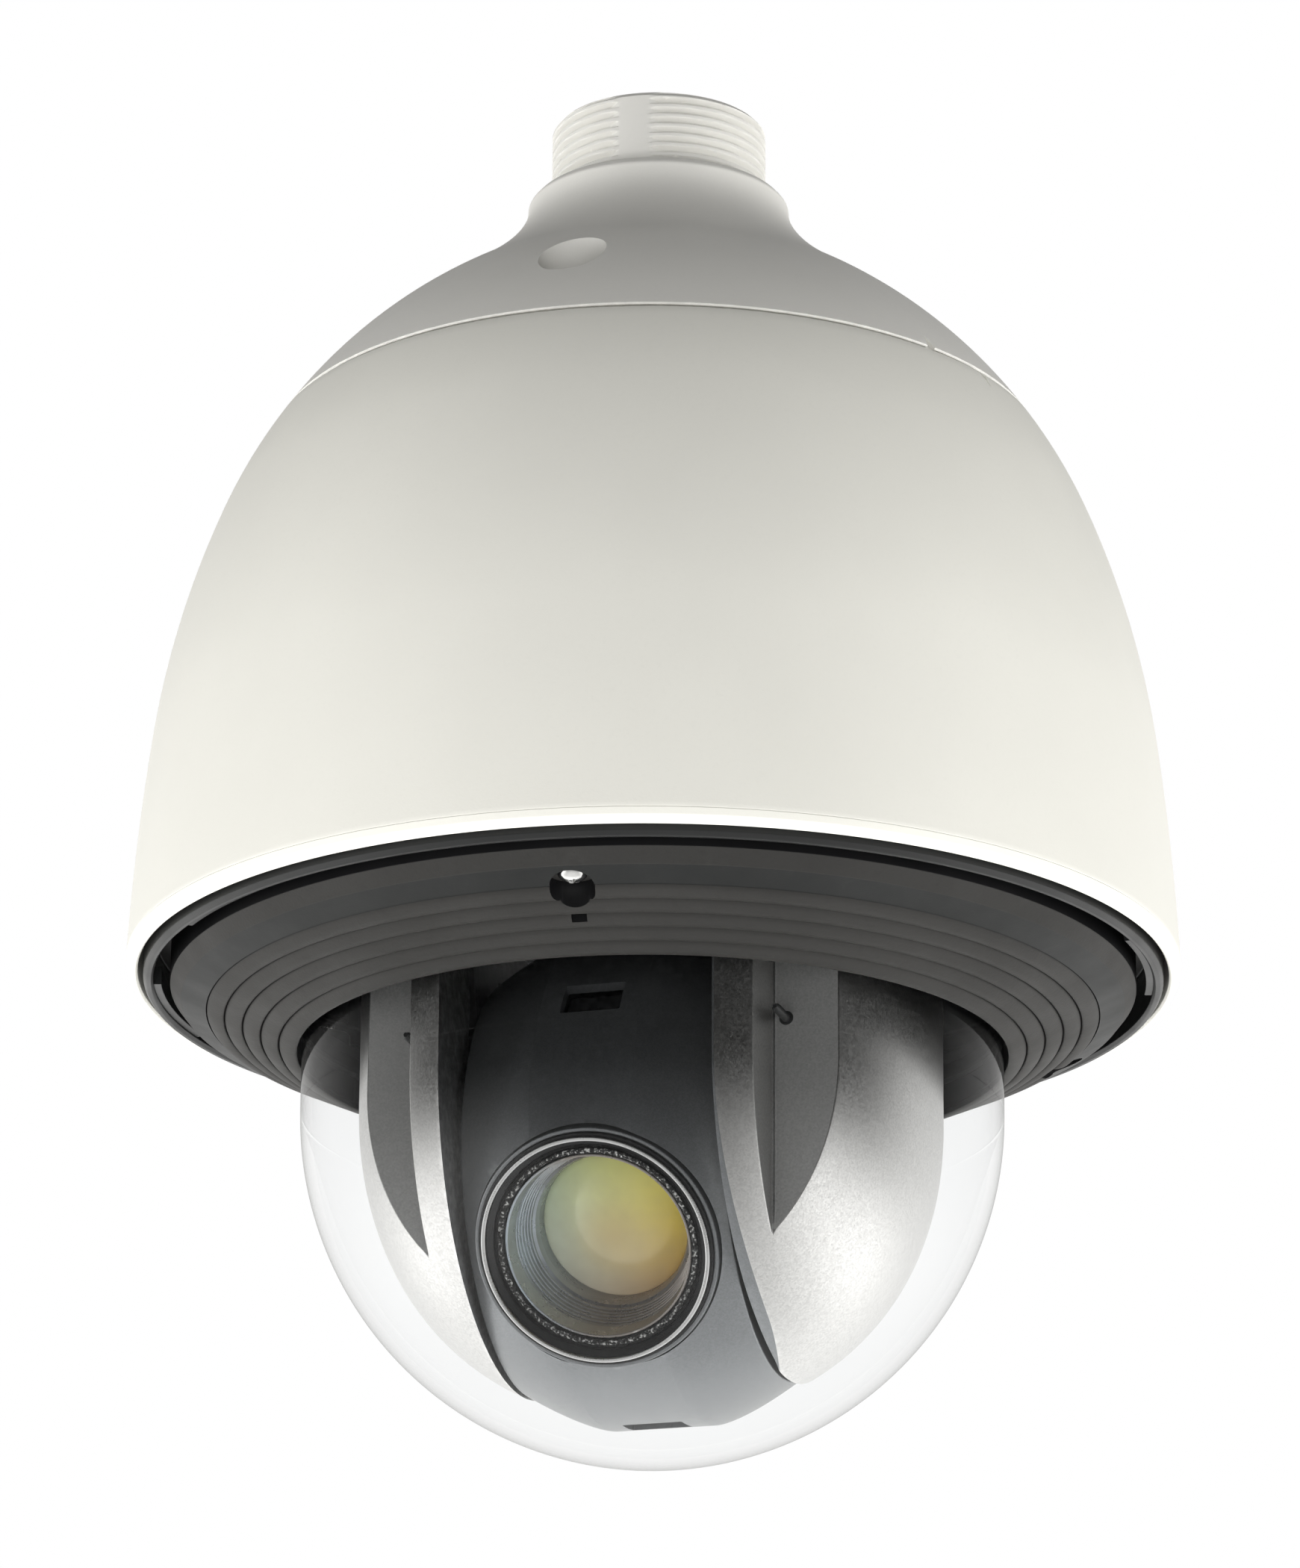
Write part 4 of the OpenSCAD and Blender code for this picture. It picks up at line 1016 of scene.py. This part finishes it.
def make_port():
    """Ring, foam seal, stepped barrel and front lens, all about the lens axis."""
    rim_in = 23.45
    rim_out = 24.35
    ring = soften([(22.2, 42), (port_r, 42), (port_r, 48.1, 0.2), (rim_out + 0.05, 48.0, 0.1),
                   (rim_out, 48.8, 0.3), (rim_in, 48.8, 0.3), (rim_in - 0.05, 47.6, 0.2),
                   (22.5, 46.9, 0.2), (22.2, 46.6, 0.2)])

    def band(centre, normal):
        """0 on the bright rim, 1 on the blackened rest."""
        return int(not rim_in - 0.02 < math.hypot(centre.x, centre.y) < rim_out + 0.02)

    piece("port_ring_skin", lathe(ring, 192), LENS, "camera_drum", "port_metal", ["port_ring"],
          others=("black_plastic",), pick=band)

    def ragged(angle, r, h):
        """Foam left rough where it was cut."""
        if h < 45:
            return r, h
        where = Vector((math.cos(angle) * 14, math.sin(angle) * 14, h * 2.2 + r))
        return r + 0.22 * noise.noise(where), min(46.8, h + 0.28 * noise.noise(where * 2.1))

    # The foam fills the way between the ring and the barrel's mouth
    seal = soften([(20.1, 43), (22.05, 43), (22.05, 45.7, 0.2), (21.4, 45.7, 0.1), (21.3, 46.6, 0.2),
                   (20.9, 46.7), (20.4, 46.6, 0.3), (20.1, 46.0)])
    piece("port_seal_skin", lathe(seal, 480, ragged), LENS, "camera_drum", "black_rubber",
          ["port_seal"], look="gasket_foam")
    # Fine steps that narrow the way in to the front lens
    step_run = 0.32
    step_fall = 1.15
    steps = []
    for i in range(5):
        r = 18.7 - i * step_run
        h = 41.0 - i * step_fall
        steps += [(r, h, 0.08), (r - 0.03, h - 0.95, 0.1), (r - 0.3, h - 1.05, 0.08)]
    barrel = soften([
        (14.2, 22), (21, 22), (21, 28, 0.4), (19.9, 28), (19.9, 46.0, 0.3), (19.3, 46.0, 0.3),
        (18.9, 41.2, 0.2), *steps, (17.0, 34.9, 0.2), (16.4, 34.5, 0.2), (15.9, 33.2, 0.1),
        (15.82, 32.0), (15.82, 27), (14.2, 27)])
    piece("lens_barrel_skin", lathe(barrel, 192), LENS, "camera_drum", "barrel_metal",
          ["lens_barrel"], sharp=40)
    glass_r = 15.8
    curve_r = 38.0
    crown = 33.6
    front = []
    front_steps = 24
    for i in range(front_steps + 1):
        r = glass_r * i / front_steps
        front.append((r, crown - curve_r + math.sqrt(curve_r ** 2 - r * r)))
    glass = front[:-1] + [(glass_r - 0.2, front[-1][1] - 0.1), (glass_r, front[-1][1] - 0.4),
                          (glass_r, 27.2), (glass_r - 0.4, 27), (0, 27)]
    piece("front_lens_glass", lathe(glass, 160), LENS, "camera_drum", "coated_glass", ["front_lens"])


# ---- Room, lights and camera ----


def make_floor():
    """Pale disc far below, lit by itself and unseen in reflections, that fades to the backdrop."""
    floor_r = 14.0
    plain_r = 2.0
    bm = bmesh.new()
    bmesh.ops.create_circle(bm, cap_ends=True, segments=96, radius=floor_r)
    mesh = bpy.data.meshes.new("floor")
    bm.to_mesh(mesh)
    bm.free()
    floor = bpy.data.objects.new("floor", mesh)
    floor.location = (0, 0, -3.0)
    look = Look("floor_paper")
    grain = look.spread(look.noise(300, 3), 0.0, 1.0)
    tone = look.blend(grain, (0.72, 0.72, 0.71), (0.75, 0.75, 0.74))
    away = look.add("ShaderNodeVectorMath", {0: look.place}, operation="LENGTH").outputs["Value"]
    pale = look.blend(look.spread(away, 0.0, 1.0, plain_r, floor_r), tone, (1.0, 1.0, 1.0))
    gloss = look.spread(look.noise(80), 0.6, 0.8)
    mesh.materials.append(look.set(Base_Color=(0.04, 0.04, 0.04, 1), Emission_Color=pale,
                                   Emission_Strength=0.95, Roughness=gloss))
    floor.visible_glossy = False
    floor.visible_diffuse = False
    bpy.context.scene.collection.objects.link(floor)


def soft_light(name, place, aim, width, height, radiance):
    """Rectangular softbox of a stated brightness, unseen by the camera and in reflections."""
    data = bpy.data.lights.new(name, "AREA")
    data.shape = "RECTANGLE"
    data.size = width
    data.size_y = height
    data.energy = radiance * math.pi * width * height
    lamp = bpy.data.objects.new(name, data)
    lamp.location = place
    lamp.rotation_mode = "QUATERNION"
    lamp.rotation_quaternion = (Vector(aim) - Vector(place)).to_track_quat("-Z", "Y")
    lamp.visible_camera = False
    lamp.visible_glossy = False
    bpy.context.scene.collection.objects.link(lamp)


def make_lights():
    middle = (cad_low + cad_high) / 2
    soft_light("left", (-1.8, -0.1, -0.7), middle, 1.2, 1.4, 4.2)
    soft_light("right", (1.8, -0.1, -0.7), middle, 1.2, 1.4, 4.2)
    soft_light("front", (0, -2.2, -1.1), middle, 2.6, 1.4, 2.9)
    soft_light("below", (0, -0.4, -2.2), middle, 2.4, 2.0, 2.2)
    soft_light("overhead", (0, -1.6, 1.5), middle, 2.4, 1.4, 1.1)
    soft_light("behind", (0.3, 1.8, 1.3), middle, 2.4, 1.4, 1.0)


def make_world():
    """White backdrop to the camera; to everything else, a room bright low down, aside and behind."""
    world = bpy.data.worlds.new("studio")
    world.use_nodes = True
    bpy.context.scene.world = world
    tree = world.node_tree

    def add(kind, **settings):
        node = tree.nodes.new(kind)
        for setting, value in settings.items():
            setattr(node, setting, value)
        return node

    def ranged(source, low, high, to_low, to_high):
        node = add("ShaderNodeMapRange", interpolation_type="SMOOTHSTEP")
        tree.links.new(source, node.inputs["Value"])
        for socket, value in zip(("From Min", "From Max", "To Min", "To Max"),
                                 (low, high, to_low, to_high)):
            node.inputs[socket].default_value = value
        return node.outputs[0]

    def combined(operation, one, two):
        node = add("ShaderNodeMath", operation=operation)
        tree.links.new(one, node.inputs[0])
        tree.links.new(two, node.inputs[1])
        return node.outputs[0]

    split = add("ShaderNodeSeparateXYZ")
    tree.links.new(add("ShaderNodeTexCoord").outputs["Generated"], split.inputs[0])
    low = ranged(split.outputs["Z"], -0.42, 0.12, 1.0, 0.015)
    x_squared = combined("MULTIPLY", split.outputs["X"], split.outputs["X"])
    aside = ranged(x_squared, 0.2, 0.85, 0.3, 1.8)
    behind = ranged(split.outputs["Y"], 0.05, 0.75, 0.0, 1.15)
    below_roof = ranged(split.outputs["Z"], 0.12, 0.6, 1.0, 0.25)
    beneath = ranged(split.outputs["Z"], -1.0, -0.55, 0.6, 0.0)
    around = combined("ADD", combined("MULTIPLY", low, aside), combined("MULTIPLY", behind, below_roof))
    light = add("ShaderNodeBackground")
    tree.links.new(combined("ADD", around, beneath), light.inputs["Strength"])
    light.inputs["Color"].default_value = (1.0, 0.995, 0.98, 1)
    backdrop = add("ShaderNodeBackground")
    backdrop.inputs["Color"].default_value = (1, 1, 1, 1)
    mixed = add("ShaderNodeMixShader")
    tree.links.new(add("ShaderNodeLightPath").outputs["Is Camera Ray"], mixed.inputs[0])
    tree.links.new(light.outputs[0], mixed.inputs[1])
    tree.links.new(backdrop.outputs[0], mixed.inputs[2])
    tree.links.new(mixed.outputs[0], tree.nodes["World Output"].inputs["Surface"])


def make_camera():
    """Below the object, looking up at it, as the object is seen from the ground."""
    data = bpy.data.cameras.new("camera")
    data.sensor_width = 36
    data.lens = 162.04
    data.clip_end = 50
    camera = bpy.data.objects.new("camera", data)
    place = (-0.001, -1.4483, -0.6254)
    forward = Vector((0, 0.94736, 0.32018)).normalized()
    level_right = Vector((1, 0, 0))
    level_up = Vector((0, -forward.z, forward.y))
    roll = math.radians(0.412)
    right = level_right * math.cos(roll) + level_up * math.sin(roll)
    up = level_up * math.cos(roll) - level_right * math.sin(roll)
    turn = Matrix((right, up, -forward)).transposed().to_4x4()
    camera.matrix_world = Matrix.Translation(place) @ turn
    bpy.context.scene.collection.objects.link(camera)
    bpy.context.scene.camera = camera


def paint_cad_nodes():
    """Gives every CAD node the look of its own material slot."""
    for part in frame["record"]["subparts"]:
        node = frame["nodes"][part["node"]]
        for held in node.material_slots:
            held.material = LOOKS[part["material_slot"]]


bpy.context.scene.view_settings.view_transform = "Standard"
paint_cad_nodes()
make_cap()
make_hood()
make_inner_housing()
make_trim_ring()
make_trim_screws()
make_dome()
make_cover(-1)
make_cover(1)
make_cover_screws()
make_drum()
make_port()
make_floor()
make_lights()
make_world()
make_camera()
